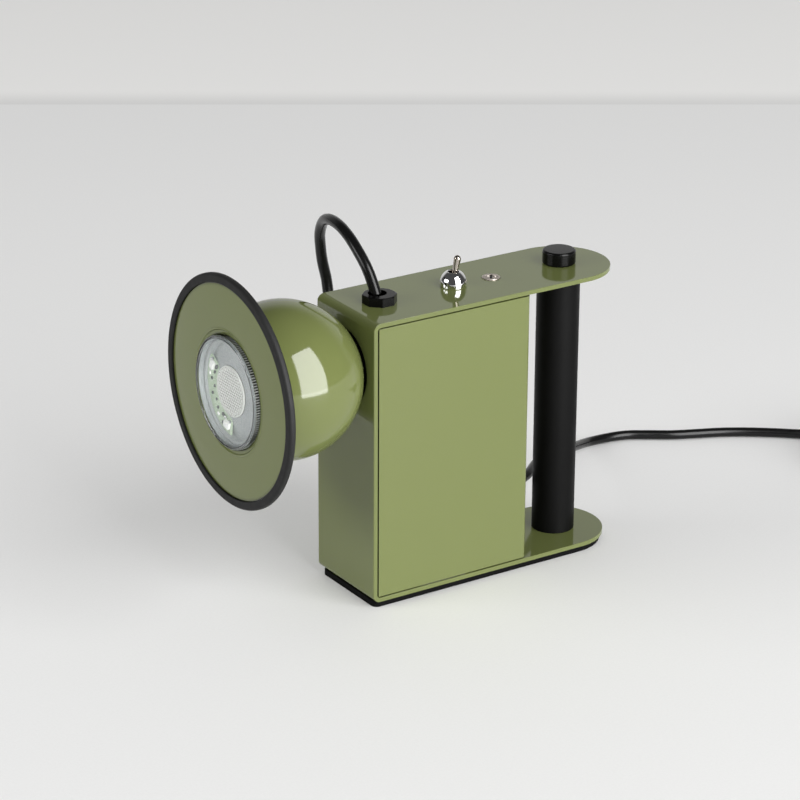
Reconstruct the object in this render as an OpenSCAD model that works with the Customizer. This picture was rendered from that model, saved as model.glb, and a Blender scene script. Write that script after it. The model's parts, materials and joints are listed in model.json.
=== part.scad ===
// Table lamp: a strip folded into a C with a sheet cover, a tube handle and a ball head on a magnet seat.
// The sole's underside is z = 0, the strip's centre is x = 0 and y = 0, and the head looks along -X.

/* [Frame strip] */
// Length of the top and bottom plates
strip_len = 136; // [126:1:160]
// Width of the strip
strip_w = 46; // [42:1:60]
// Height over both plates
strip_h = 130.5; // [115:0.5:150]
// Thickness of the strip's sheet
sheet_t = 2; // [1.6:0.1:2.6]
// Outer radius of the strip's bends
bend_r = 3.5; // [3:0.1:6]

/* [Sole] */
// Thickness of the rubber sole
sole_t = 3; // [2.8:0.1:5]
// How far the sole stands back from the strip's outline
sole_inset = 1.25; // [0.5:0.25:3]
// Corner radius of the sole's front corners
sole_corner_r = 3; // [1:0.5:8]

/* [Cover] */
// From the end wall's outer face to the cover's rear face
cover_depth = 82; // [76:1:88]
// Thickness of the cover's sheet
cover_t = 1.5; // [1:0.1:2]
// Outer radius of the cover's two upright bends
cover_r = 2.5; // [2.2:0.1:5]
// Gap between the cover and the strip
cover_gap = 0.6; // [0.3:0.1:1]
// Length of the two screw tabs
tab_len = 11; // [10:0.5:12]
// Width of the two screw tabs
tab_w = 16; // [12:1:24]
// From the cover's rear face to the cover screws
screw_inset = 5.9; // [5.2:0.1:6]
// Thread diameter of the cover screws
screw_d = 4; // [3:0.5:4]
// Head diameter of the cover screws
screw_head_d = 8; // [6.5:0.5:9]
// Width across the flats of the cover nuts
screw_nut_af = 7; // [6:0.5:9]
// Height of the cover nuts
screw_nut_h = 3.2; // [2:0.2:5]

/* [Handle] */
// Outer diameter of the handle tube
tube_d = 19.5; // [16:0.5:24]
// Wall of the handle tube
tube_wall = 2; // [1:0.25:3]
// Length of the threaded plugs in the tube's ends
plug_len = 14; // [10:1:25]
// Diameter of the handle's screw threads
stud_d = 6; // [4:0.5:7]
// Length of thread in each plug
stud_len = 11; // [6:1:12]
// Diameter of the cap
cap_d = 15; // [12:0.5:20]
// Height of the cap
cap_h = 6.5; // [4:0.5:10]
// Radius on the cap's edges
cap_edge_r = 1; // [0.5:0.25:1.75]
// Head diameter of the foot screw
foot_head_d = 11; // [9:0.5:14]
// Head height of the foot screw
foot_head_h = 2.2; // [1.5:0.1:2.5]

/* [Head] */
// Diameter of the ball
ball_d = 70; // [66:1:76]
// Wall of the ball
ball_wall = 1.5; // [1:0.1:2]
// How far the ball sinks into the end wall's plane
ball_sink = 3; // [2.2:0.1:3]
// Ball centre below the top plate's upper face
ball_drop = 25.7; // [24:0.1:34]
// Distance between the disc's back and the ball's mouth
collar_len = 3.4; // [2:0.2:5]
// Thickness of the disc
disc_t = 1.5; // [1:0.1:2]
// Wall of the collar behind the disc
collar_wall = 1.4; // [0.8:0.1:1.6]
// Outer diameter over the rubber trim
trim_d = 103; // [96:1:116]
// Radial width of the trim
trim_w = 4; // [3.5:0.25:6]
// Thickness of the trim
trim_t = 3.25; // [3:0.25:6]
// How deep the disc sits in the trim
trim_groove = 2.5; // [1.5:0.25:2.75]

/* [Bulb] */
// Diameter of the bulb's rim
bulb_d = 50; // [48:0.5:52]
// Gap between the bulb's rim and the disc's hole
bulb_gap = 1.2; // [0.6:0.1:2]
// How far the bulb's rim stands out of the disc
bulb_proud = 1.9; // [0.5:0.1:4]
// From the bulb's front to the end of its base
bulb_len = 44.5; // [43:0.5:46]
// Diameter of the bulb's base
base_d = 24; // [22:0.5:26]
// Length of the bulb's base
base_len = 12; // [10:0.5:14]
// Distance between the bulb's pins
pin_gap = 10; // [9:0.5:11]
// Diameter of the bulb's pins
pin_d = 3; // [2.5:0.25:3.25]
// Diameter of the pins' heads
pin_head_d = 4.8; // [4:0.2:5]
// Length of the bulb's pins
pin_len = 6.5; // [5:0.5:7.5]
// Diameter of the lamp holder
holder_d = 22; // [21:0.5:22.5]

/* [Seat] */
// Radius of the turning seat cup
seat_r = 15.4; // [15:0.1:18]
// Radius of the seat cup's rear barrel
seat_barrel_r = 13.8; // [12.5:0.1:14.2]
// Clearance between the ball and its seat
seat_clear = 0.3; // [0.25:0.05:0.5]
// Radius of the magnet
magnet_r = 10; // [7:0.5:10.5]
// Thickness of the magnet
magnet_t = 4; // [3:0.5:4]
// Wall of the bush between the seat and the end wall
bush_wall = 1.6; // [1.2:0.1:3]

/* [Switch] */
// From the end wall's outer face to the switch
switch_from_wall = 56; // [48:1:60]
// Diameter of the dome nut
dome_d = 12.5; // [10:0.5:15]
// Height of the dome nut
dome_h = 6.8; // [6.6:0.1:8]
// Diameter of the dome nut's top hole
dome_hole_d = 5; // [4.6:0.1:5.4]
// Thread diameter of the switch
switch_thread_d = 6; // [5.8:0.1:7]
// Length, width and height of the switch body
switch_size = [13, 8, 9.5];
// Length of the lever above its pivot
lever_len = 12; // [10:0.5:18]
// Lean of the lever from upright
lever_lean = 11; // [8:1:13]
// Diameter of the lever's shaft
lever_d = 2.2; // [1.8:0.1:2.4]
// Diameter of the lever's tip
lever_tip_d = 2.9; // [2.5:0.1:4]

/* [Gland] */
// From the end wall's outer face to the gland
gland_from_wall = 17.5; // [16:0.5:20]
// Width across the gland's flats
gland_af = 14.3; // [14:0.1:20]
// Height of the gland's head
gland_h = 4; // [3.6:0.2:8]
// Thread diameter of the gland
gland_thread_d = 11.8; // [11.4:0.1:12.5]
// Length of the gland below the top plate
gland_tail = 10; // [9:0.5:11]

/* [Cord] */
// Diameter of the mains cord
cord_d = 4.6; // [4:0.1:5]
// Diameter of the loop cord
loop_d = 5; // [4:0.1:5.2]
// Sideways place of the mains outlet
mains_y = 15.5; // [12:0.5:16]
// Height of the mains outlet
mains_z = 24; // [18:0.5:26]
// Length of the tapered strain relief outside the cover
relief_len = 20; // [20:1:21]
// Whole loops in the stored coil
coil_loops = 9; // [8:1:10]
// Radius at the middle of the coil's turns
coil_mid_r = 25.5; // [25:0.5:27]
// Distance from turn to turn
coil_pitch = 5.1; // [5.1:0.1:5.6]
// Width of the coil's tie
tie_w = 9; // [5:1:12]
// Thickness of the coil's tie
tie_t = 1.2; // [0.8:0.1:2]

/* [Hidden] */
$fn = 96;

// Colours of the finishes
olive = [0.57, 0.61, 0.38];
black = [0.08, 0.08, 0.08];
steel = [0.72, 0.72, 0.7];
brass = [0.76, 0.62, 0.32];
white = [0.9, 0.9, 0.87];
clear_glass = [0.85, 0.9, 0.92, 0.5];

// Clearance of a thread or a pin in its hole, and of a hole in sheet round what passes it
fit_gap = 0.05;
hole_gap = 0.2;
over = 1;

// Levels and places of the body
x_wall = -strip_len / 2;
x_rear = x_wall + cover_depth;
x_tube = strip_len / 2 - strip_w / 2;
x_screw = x_rear - screw_inset;
x_switch = x_wall + switch_from_wall;
x_gland = x_wall + gland_from_wall;
z_top = sole_t + strip_h;
z_under = z_top - sheet_t;
z_floor = sole_t + sheet_t;

// Ball, head and seat: distances along the head's axis are from the ball's centre, + towards the wall
ball_r = ball_d / 2;
ball_in = ball_r - ball_wall;
ball_c = [x_wall + ball_sink - ball_r, 0, z_top - ball_drop];
wall_off = ball_r - ball_sink;
disc_hole_r = bulb_d / 2 + bulb_gap;
collar_r = disc_hole_r + collar_wall;
mouth_off = sqrt(pow(ball_r, 2) - pow(collar_r, 2));
disc_face = mouth_off + collar_len + disc_t;
bulb_front = -disc_face - bulb_proud;
bulb_end = bulb_front + bulb_len;
bulb_r = bulb_d / 2;
base_r = base_d / 2;
holder_gap = 0.3;
holder_front = bulb_end + holder_gap;
bracket_t = 1.2;
bracket_back = 3.3;
holder_end = ball_in - bracket_back - bracket_t;
holder_len = holder_end - holder_front;
bracket_half_w = 5;
holder_screw_z = 8;
disc_r = trim_d / 2 - trim_w + trim_groove;
seat_face = 0.2;
seat_step = 3;
seat_clip_t = 1;
seat_groove = 0.8;
bush_back = 5;
bush_flange = 2.5;
bush_flange_t = 1.5;
seat_back = 2.4;
bush_len = sheet_t + bush_back;
seat_len = bush_len + seat_back;
pocket_floor = seat_len - magnet_t;

// Cord's way into the ball: turned from +X towards +Y, and dipped below level
entry_turn = 52;
entry_dip = 10;
entry_dir = [cos(entry_dip) * cos(entry_turn), cos(entry_dip) * sin(entry_turn), -sin(entry_dip)];
grommet_neck_r = loop_d / 2 + 1.2;
grommet_r = loop_d / 2 + 2.3;

// Switch: the lever's pivot is inside the threaded bush
nut_t = 1.5;
pivot_z = z_top + 2;
pivot_r = 2.2;
bush_top = z_top + 4.3;
switch_top = z_under - nut_t;

// Coil: it starts where the mains cord arrives and ends beside the plug
coil_c = [239, -23];
coil_from = 43;
coil_to = 0;
coil_layers = 4;
coil_turns = coil_loops + (coil_from - coil_to) / 360;
coil_layer_turns = coil_turns / coil_layers;
coil_out_r = coil_mid_r + coil_pitch * coil_layer_turns / 2;
coil_in_r = coil_mid_r - coil_pitch * coil_layer_turns / 2;
coil_gap = 0.3;
coil_z = tie_t + coil_gap + cord_d / 2;
coil_rings = 24;
coil_sides = 6;

// Plug: it lies flat on the floor, with its pins away from the coil
plug_t = 14;
plug_relief = 16;
plug_long = 28;
plug_pin_d = 4;
plug_pin_len = 19;
plug_pin_gap = 19;
plug_y = -60;

// Terminal block on the bottom plate
block_size = [24, 20, 12];
block_x = -24;
block_y = -2;
lead_d = 1.8;

function unit(v) = v / norm(v);
function ease(t) = t <= 0 ? 0 : t >= 1 ? 1 : t * t * (3 - 2 * t);
function entry(s) = ball_c + s * entry_dir;

// A smooth curve through the points of a route
function before(r, i) = i > 0 ? r[i - 1] : 2 * r[0] - r[1];
function after(r, i) = i + 2 < len(r) ? r[i + 2] : 2 * r[len(r) - 1] - r[len(r) - 2];
function between(a, b, c, d, t) =
  0.5 * (2 * b + (c - a) * t + (2 * a - 5 * b + 4 * c - d) * t * t + (3 * b - a - 3 * c + d) * t * t * t);
function smooth(r, steps) = [
  for (i = [0 : len(r) - 2])
    for (k = [0 : steps - 1])
      between(before(r, i), r[i], r[i + 1], after(r, i), k / steps),
  r[len(r) - 1]
];

// One turn of the coil after another: clockwise, in and out, climbing a layer at each reversal
function coil_climb(t, k) = ease((t - k * coil_layer_turns) / 0.5 + 0.5);
function coil_level(t) = coil_climb(t, 1) + coil_climb(t, 2) + coil_climb(t, 3);
function coil_radius(t) =
  coil_in_r + (coil_out_r - coil_in_r) * abs((t / coil_layer_turns) % 2 - 1);
function coil_point(t) = [
  coil_c.x + coil_radius(t) * cos(coil_from - 360 * t),
  coil_c.y + coil_radius(t) * sin(coil_from - 360 * t),
  coil_z + coil_pitch * coil_level(t)
];
coil_count = ceil(coil_turns * coil_rings);
coil_wound = [for (i = [0 : coil_count]) coil_point(coil_turns * i / coil_count)];
coil_start = coil_wound[0] - cord_d * [sin(coil_from), -cos(coil_from), 0];
coil_end = coil_wound[coil_count] + cord_d * [sin(coil_to), -cos(coil_to), 0];
coil_path = concat([coil_start], coil_wound, [coil_end]);

// Least gap between turns, on points at least half a loop apart
coil_least_gap = min([
  for (i = [0 : coil_count])
    for (j = [i + coil_rings / 2 : 1 : coil_count])
      norm(coil_wound[i] - coil_wound[j])
]) - cord_d;
echo("Least gap between the coil's turns, mm", coil_least_gap);

// Routes of the cords
loop_route = [
  [x_gland, 0, z_top - 12], [x_gland, 0, z_top - 6],
  [-51, 1, 134.5], [-51.7, 3.8, 141.5], [-52.3, 8.1, 148], [-52.7, 15.1, 154], [-52.2, 22.5, 157.6],
  [-51.3, 31.1, 159.6], [-49.7, 41.2, 159.2], [-47, 51.1, 155.2], [-44.4, 58.4, 147.5],
  [-42, 62, 139.9], [-39.8, 63.8, 131], [-38.3, 62.6, 121.5], [-39.8, 59, 112], [-46.3, 54, 104.2],
  [-54.3, 48.5, 100.3], [-62.7, 43, 98.9],
  entry(47), entry(39), entry(31)
];
mains_route = [
  [x_rear - 9, mains_y, mains_z], [x_rear + relief_len, mains_y, mains_z],
  [40.5, 17, 24], [46.7, 21, 24], [53, 26.4, 23.7], [60.7, 32.8, 22.6], [69.5, 39.5, 20.3],
  [79.5, 46.9, 17], [89.7, 54.4, 13.2], [99.6, 61.7, 9.6], [108.7, 68, 6.6], [115.2, 72.2, 4.7],
  [121.6, 75.1, 3.3], [131.9, 76.2, 2.5], [142.7, 74, 2.5], [152.6, 68.2, 2.5], [163, 61.5, 2.5],
  [174, 56.4, 2.5], [185.1, 51.4, 2.5], [195.8, 44.9, 2.5], [207.2, 36.5, 2.5], [216.5, 28.7, 2.5],
  [226, 22.3, 2.6], [237, 17.5, 2.9], [248.5, 11.8, 3.5], coil_start
];
tail_route = [
  coil_end, coil_end + [0, -4, 0], coil_end + [0, -12, -3.5],
  [coil_end.x, plug_y + 13, plug_t / 2 + 3], [coil_end.x, plug_y + 4, plug_t / 2],
  [coil_end.x, plug_y, plug_t / 2]
];

// Corners of a tube round a path; the reference direction is never along the path
function along(p, i) = unit(p[min(i + 1, len(p) - 1)] - p[max(i - 1, 0)]);
function ring(p, i, r, sides, ref) =
  let (t = along(p, i))
  let (u = unit(cross(ref, t)))
  let (v = cross(t, u))
  [for (k = [0 : sides - 1]) p[i] + r * (cos(360 * k / sides) * u + sin(360 * k / sides) * v)];

module tube(path, d, sides, ref) {
  last = (len(path) - 1) * sides;
  corners = [for (i = [0 : len(path) - 1]) each ring(path, i, d / 2, sides, ref)];
  left = [
    for (i = [0 : len(path) - 2])
      for (k = [0 : sides - 1])
        [i * sides + k, (i + 1) * sides + k, (i + 1) * sides + (k + 1) % sides]
  ];
  right = [
    for (i = [0 : len(path) - 2])
      for (k = [0 : sides - 1])
        [i * sides + k, (i + 1) * sides + (k + 1) % sides, i * sides + (k + 1) % sides]
  ];
  start_cap = [for (k = [1 : sides - 2]) [0, k, k + 1]];
  end_cap = [for (k = [1 : sides - 2]) [last, last + k + 1, last + k]];
  polyhedron(points = corners, faces = concat(left, right, start_cap, end_cap));
}

// Places its children on the head's axis, with their +Z along +X
module on_axis(off) {
  translate(ball_c + [off, 0, 0])
    rotate([0, 90, 0])
      children();
}

// Places its children on the cord's way into the ball, with their +Z outwards
module on_entry(off) {
  translate(entry(off))
    rotate([0, 90 + entry_dip, entry_turn])
      children();
}

module drill(x, y, z, d, h) {
  translate([x, y, z])
    cylinder(d = d, h = h);
}

module hex_nut(af, h, bore) {
  difference() {
    cylinder(d = af / cos(30), h = h, $fn = 6);
    translate([0, 0, -over])
      cylinder(d = bore, h = h + 2 * over);
  }
}

module ring_part(r_out, r_in, h) {
  difference() {
    cylinder(r = r_out, h = h);
    translate([0, 0, -over])
      cylinder(r = r_in, h = h + 2 * over);
  }
}

// Plan of the strip: square at the wall and half round at the handle
module plan(inset, corner_r) {
  half = strip_w / 2 - inset;
  x0 = x_wall + inset;
  translate([x0 + corner_r, -half])
    square([x_tube - x0 - corner_r, 2 * half]);
  translate([x0, corner_r - half])
    square([2 * corner_r, 2 * (half - corner_r)]);
  for (side = [-1, 1])
    translate([x0 + corner_r, side * (half - corner_r)])
      circle(corner_r);
  translate([x_tube, 0])
    circle(half);
}

// A rectangle whose two corners at its low-x side are round
module bent_sheet(x0, x1, y0, y1, r) {
  translate([x0 + r, y0])
    square([x1 - x0 - r, y1 - y0]);
  translate([x0, y0 + r])
    square([2 * r, y1 - y0 - 2 * r]);
  for (y = [y0 + r, y1 - r])
    translate([x0 + r, y])
      circle(r);
}

module strip_profile() {
  difference() {
    bent_sheet(x_wall, strip_len / 2, sole_t, z_top, bend_r);
    bent_sheet(x_wall + sheet_t, strip_len, z_floor, z_under, bend_r - sheet_t);
  }
}

// A countersunk screw hole down through a plate whose upper face is z = 0
module countersink(depth) {
  translate([0, 0, -depth - over])
    cylinder(d = screw_d + 2 * hole_gap, h = depth + 2 * over);
  translate([0, 0, -(screw_head_d - screw_d) / 2])
    cylinder(d1 = screw_d + 2 * hole_gap, d2 = screw_head_d + 2 * hole_gap, h = (screw_head_d - screw_d) / 2);
}

module frame_strip() {
  color(olive)
    difference() {
      intersection() {
        translate([0, strip_w / 2, 0])
          rotate([90, 0, 0])
            linear_extrude(strip_w)
              strip_profile();
        linear_extrude(z_top + over)
          plan(0, 0.5);
      }
      drill(x_gland, 0, z_under - over, gland_thread_d + 2 * hole_gap, sheet_t + 2 * over);
      drill(x_switch, 0, z_under - over, switch_thread_d + 2 * hole_gap, sheet_t + 2 * over);
      drill(x_tube, 0, z_under - over, stud_d + 2 * hole_gap, sheet_t + 2 * over);
      drill(x_tube, 0, sole_t - over, stud_d + 2 * hole_gap, sheet_t + 2 * over);
      drill(block_x, block_y, sole_t - over, 3 + 2 * fit_gap, sheet_t + 2 * over);
      translate([x_screw, 0, z_top])
        countersink(sheet_t);
      translate([x_screw, 0, sole_t])
        mirror([0, 0, 1])
          countersink(sheet_t);
      on_axis(wall_off - over)
        cylinder(r = seat_r + bush_wall + fit_gap, h = sheet_t + 2 * over);
    }
}

module cover_plan(shrink) {
  x1 = x_rear - shrink;
  mirror([1, 0])
    bent_sheet(-x1, -(x_wall + sheet_t + cover_gap) + shrink, shrink - strip_w / 2, strip_w / 2 - shrink, cover_r - shrink);
}

module cover() {
  z0 = z_floor + cover_gap;
  high = z_under - z_floor - 2 * cover_gap;
  color(olive)
    difference() {
      union() {
        difference() {
          translate([0, 0, z0])
            linear_extrude(high)
              cover_plan(0);
          translate([0, 0, z0 - over])
            linear_extrude(high + 2 * over)
              cover_plan(cover_t);
        }
        for (z = [z_floor, z_under - cover_t])
          translate([x_rear - cover_t - tab_len, -tab_w / 2, z])
            cube([tab_len + cover_t / 2, tab_w, cover_t]);
      }
      drill(x_screw, 0, z_floor - over, screw_d + 2 * hole_gap, strip_h);
      translate([x_rear - cover_t - over, mains_y, mains_z])
        rotate([0, 90, 0])
          cylinder(r = relief_neck_r + fit_gap, h = cover_t + 2 * over);
    }
}

// A countersunk screw with its head's face at z = 0 and a cross recess
module cover_screw() {
  head_h = (screw_head_d - screw_d) / 2;
  difference() {
    union() {
      translate([0, 0, -head_h])
        cylinder(d1 = screw_d, d2 = screw_head_d, h = head_h);
      translate([0, 0, -sheet_t - cover_t - screw_nut_h - 0.8])
        cylinder(d = screw_d, h = sheet_t + cover_t + screw_nut_h);
    }
    for (turn = [45, 135])
      rotate([0, 0, turn])
        translate([-screw_head_d * 0.3, -0.5, -1])
          cube([screw_head_d * 0.6, 1, 2]);
  }
}

module cover_screws() {
  color(steel) {
    translate([x_screw, 0, z_top])
      cover_screw();
    translate([x_screw, 0, sole_t])
      mirror([0, 0, 1])
        cover_screw();
  }
}

module cover_nuts() {
  color(steel) {
    translate([x_screw, 0, z_under - cover_t - screw_nut_h])
      rotate([0, 0, 30])
        hex_nut(screw_nut_af, screw_nut_h, screw_d + 2 * fit_gap);
    translate([x_screw, 0, z_floor + cover_t])
      rotate([0, 0, 30])
        hex_nut(screw_nut_af, screw_nut_h, screw_d + 2 * fit_gap);
  }
}

module base_sole() {
  color(black)
    difference() {
      linear_extrude(sole_t)
        plan(sole_inset, sole_corner_r);
      drill(x_tube, 0, -over, foot_head_d + 2, sole_t + 2 * over);
      drill(x_screw, 0, -over, screw_head_d + 1, sole_t + 2 * over);
    }
}

module handle_tube() {
  color(black)
    translate([x_tube, 0, z_floor])
      ring_part(tube_d / 2, tube_d / 2 - tube_wall, z_under - z_floor);
}

module handle_plugs() {
  color(steel)
    for (z = [z_floor, z_under - plug_len])
      translate([x_tube, 0, z])
        ring_part(tube_d / 2 - tube_wall - fit_gap, stud_d / 2 + fit_gap, plug_len);
}

// A disc with rounded rims
module rounded_disc(r, h, edge) {
  rotate_extrude() {
    square([r - edge, h]);
    translate([0, edge])
      square([r, h - 2 * edge]);
    for (y = [edge, h - edge])
      translate([r - edge, y])
        circle(edge, $fn = 32);
  }
}

module handle_cap() {
  color(black) {
    translate([x_tube, 0, z_top])
      rounded_disc(cap_d / 2, cap_h, cap_edge_r);
    translate([x_tube, 0, z_under - stud_len])
      cylinder(d = stud_d, h = stud_len + sheet_t + cap_edge_r);
  }
}

module handle_foot_screw() {
  color(steel)
    difference() {
      union() {
        translate([x_tube, 0, sole_t - foot_head_h])
          cylinder(d = foot_head_d, h = foot_head_h);
        translate([x_tube, 0, sole_t - foot_head_h / 2])
          cylinder(d = stud_d, h = foot_head_h / 2 + sheet_t + stud_len);
      }
      translate([x_tube, 0, sole_t - foot_head_h - over])
        cylinder(d = 4 / cos(30), h = foot_head_h / 2 + over, $fn = 6);
    }
}

gland_mouth_r = loop_d / 2 + 3;
gland_throat_r = loop_d / 2 + 1.5;
gland_bore_r = gland_thread_d / 2 - 1.7;

// An eight-sided head with a trumpet mouth, and a threaded tail through the plate
module gland_body() {
  color(black)
    translate([x_gland, 0, z_top])
      difference() {
        union() {
          intersection() {
            rotate([0, 0, 22.5])
              cylinder(d = gland_af / cos(22.5), h = gland_h, $fn = 8);
            rotate_extrude()
              polygon([
                [0, 0], [gland_af, 0], [gland_af, gland_h - 3], [gland_af / 2 - 0.4, gland_h], [0, gland_h]
              ]);
          }
          translate([0, 0, -sheet_t - gland_tail])
            cylinder(d = gland_thread_d, h = sheet_t + gland_tail + over);
        }
        cylinder(r1 = gland_throat_r, r2 = gland_mouth_r, h = gland_h);
        translate([0, 0, gland_h - fit_gap])
          cylinder(r = gland_mouth_r, h = over);
        translate([0, 0, -4])
          cylinder(r = gland_throat_r, h = 4 + fit_gap);
        translate([0, 0, -sheet_t - gland_tail - over])
          cylinder(r = gland_bore_r, h = sheet_t + gland_tail + over - 4 + fit_gap);
      }
}

module gland_locknut() {
  color(black)
    translate([x_gland, 0, z_under - 3])
      hex_nut(gland_thread_d + 5, 3, gland_thread_d + 2 * fit_gap);
}

module gland_seal() {
  color(black)
    translate([x_gland, 0, z_under - gland_tail + 0.5])
      ring_part(gland_bore_r - fit_gap, loop_d / 2 + fit_gap, gland_tail - 3.5);
}

module loop_cord() {
  color(black)
    tube(smooth(loop_route, 2), loop_d, 8, [1, 0, 0]);
}

module switch_body() {
  color(black)
    translate([x_switch, 0, 0])
      difference() {
        union() {
          translate([-switch_size.x / 2, -switch_size.y / 2, switch_top - switch_size.z])
            cube(switch_size);
          translate([0, 0, switch_top - over])
            cylinder(d = switch_thread_d, h = bush_top - switch_top + over);
        }
        translate([0, 0, pivot_z - 7])
          cylinder(r = pivot_r + 0.1, h = 7.9);
        translate([0, 0, pivot_z])
          cylinder(r = pivot_r - 0.15, h = bush_top - pivot_z + over);
        translate([0, 0, pivot_z + 1.1])
          cylinder(r1 = pivot_r - 0.15, r2 = pivot_r + 0.3, h = bush_top - pivot_z - 1.1 + fit_gap);
      }
}

// A domed nut: a straight skirt, then a quarter oval up to its top hole
module switch_dome_nut() {
  skirt = dome_h * 0.4;
  top_r = dome_hole_d / 2 + 0.7;
  color(steel)
    translate([x_switch, 0, z_top])
      rotate_extrude()
        polygon(concat(
          [
            [switch_thread_d / 2 + fit_gap, 0], [dome_d / 2 - 0.3, 0], [dome_d / 2, 0.3]
          ],
          [
            for (a = [0 : 15 : 90])
              [top_r + (dome_d / 2 - top_r) * cos(a), skirt + (dome_h - skirt) * sin(a)]
          ],
          [
            [dome_hole_d / 2, dome_h - 0.3], [dome_hole_d / 2, bush_top - z_top + hole_gap],
            [switch_thread_d / 2 + fit_gap, bush_top - z_top + hole_gap]
          ]
        ));
}

module switch_locknut() {
  color(steel)
    translate([x_switch, 0, switch_top])
      hex_nut(switch_thread_d + 2, nut_t, switch_thread_d + 2 * fit_gap);
}

module switch_terminals() {
  color(brass)
    for (x = [-4.7, 0, 4.7])
      translate([x_switch + x - 0.4, -1, switch_top - switch_size.z - 4])
        cube([0.8, 2, 4]);
}

// Pivot ball, a tail below it and a bat that thickens to a round tip
module switch_lever() {
  tip_r = lever_tip_d / 2;
  color(steel)
    translate([x_switch, 0, pivot_z])
      rotate([0, lever_lean, 0]) {
        sphere(pivot_r);
        translate([0, 0, -4.5])
          cylinder(r = 0.9, h = 4.5);
        cylinder(d1 = lever_d, d2 = lever_tip_d, h = lever_len - tip_r);
        translate([0, 0, lever_len - tip_r])
          sphere(tip_r);
      }
}

// A flanged bush in the end wall; the seat cup's step bears on its inner shoulder
module seat_bush() {
  color(black)
    on_axis(wall_off)
      difference() {
        union() {
          cylinder(r = seat_r + bush_wall, h = bush_len);
          translate([0, 0, sheet_t])
            cylinder(r = seat_r + bush_wall + bush_flange, h = bush_flange_t);
        }
        translate([0, 0, -over])
          cylinder(r = seat_r + fit_gap, h = seat_step + fit_gap + over);
        cylinder(r = seat_barrel_r + fit_gap, h = bush_len + over);
      }
}

module seat_cup() {
  color(black)
    difference() {
      on_axis(wall_off)
        difference() {
          union() {
            translate([0, 0, seat_face])
              cylinder(r = seat_r, h = seat_step - seat_face);
            translate([0, 0, seat_step - fit_gap])
              cylinder(r = seat_barrel_r, h = seat_len - seat_step + fit_gap);
          }
          translate([0, 0, pocket_floor])
            cylinder(r = magnet_r + fit_gap, h = magnet_t + over);
          translate([0, 0, bush_len + fit_gap])
            ring_part(seat_barrel_r + over, seat_barrel_r - seat_groove, seat_clip_t + 2 * fit_gap);
        }
      translate(ball_c)
        sphere(ball_r + seat_clear);
    }
}

module seat_magnet() {
  color(steel)
    on_axis(wall_off + pocket_floor)
      cylinder(r = magnet_r, h = magnet_t);
}

module seat_clip() {
  color(steel)
    on_axis(wall_off + bush_len + 2 * fit_gap)
      ring_part(seat_barrel_r + 2, seat_barrel_r - seat_groove + fit_gap, seat_clip_t);
}

// A spun ball, cut open for the bulb and pierced for the cord
module ball_shell() {
  color(olive)
    difference() {
      on_axis(0)
        rotate_extrude()
          difference() {
            circle(ball_r);
            circle(ball_in);
            translate([-ball_d, -ball_d])
              square([ball_d, 2 * ball_d]);
            translate([-over, -ball_d])
              square([ball_d, ball_d - mouth_off]);
          }
      on_entry(ball_in - 5)
        cylinder(r = grommet_neck_r + fit_gap, h = 10);
    }
}

// Two flanges round the ball's wall and a tapered sleeve round the cord
module ball_grommet() {
  inner_face = sqrt(pow(ball_in, 2) - pow(grommet_r, 2)) - fit_gap;
  color(black)
    on_entry(0)
      difference() {
        union() {
          translate([0, 0, inner_face - 1.4])
            cylinder(r = grommet_r, h = 1.4);
          translate([0, 0, inner_face - 0.5])
            cylinder(r = grommet_neck_r, h = ball_r - inner_face + 1);
          translate([0, 0, ball_r + fit_gap])
            cylinder(r = grommet_r, h = 1.6);
          translate([0, 0, ball_r + 1.5])
            cylinder(r1 = grommet_neck_r + 0.4, r2 = loop_d / 2 + 0.6, h = 4);
        }
        translate([0, 0, inner_face - 3])
          cylinder(r = loop_d / 2 + 2 * fit_gap, h = ball_r - inner_face + 12);
      }
}

// The round screen and the collar that joins it to the ball's mouth
module head_disc() {
  color(olive)
    on_axis(-disc_face) {
      ring_part(disc_r, disc_hole_r, disc_t);
      translate([0, 0, disc_t])
        ring_part(collar_r, disc_hole_r, collar_len);
    }
}

// A rubber edge that grips the disc's rim on both sides
module edge_trim() {
  edge = trim_t * 0.35;
  inner_r = trim_d / 2 - trim_w;
  color(black)
    on_axis(-disc_face + disc_t / 2 - trim_t / 2)
      rotate_extrude()
        difference() {
          union() {
            translate([inner_r + 0.6, 0])
              square([trim_w - 0.6 - edge, trim_t]);
            translate([inner_r, 0.6])
              square([trim_w, trim_t - 1.2]);
            translate([trim_d / 2 - 2 * edge, edge])
              square([2 * edge, trim_t - 2 * edge]);
            for (y = [edge, trim_t - edge])
              translate([trim_d / 2 - edge, y])
                circle(edge, $fn = 32);
            for (y = [0.6, trim_t - 0.6])
              translate([inner_r + 0.6, y])
                circle(0.6, $fn = 32);
          }
          translate([inner_r - over, trim_t / 2 - disc_t / 2 - fit_gap])
            square([trim_groove + over + fit_gap, disc_t + 2 * fit_gap]);
          translate([trim_d / 2 - edge, 0])
            difference() {
              square([edge + over, edge]);
              translate([0, edge])
                circle(edge, $fn = 32);
            }
          translate([trim_d / 2 - edge, trim_t - edge])
            difference() {
              square([edge + over, edge]);
              circle(edge, $fn = 32);
            }
        }
}

// A ceramic block with two pin holes and two screw holes in its back
module lamp_holder() {
  color(white)
    on_axis(holder_front)
      difference() {
        cylinder(d = holder_d, h = holder_len);
        for (side = [-1, 1])
          translate([0, side * pin_gap / 2, -over])
            cylinder(d = pin_head_d + 0.8, h = pin_len + 1 + over);
        for (side = [-1, 1])
          translate([side * holder_screw_z, 0, holder_len - 7])
            cylinder(d = 2.5 + 2 * fit_gap, h = 7 + over);
      }
}

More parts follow.
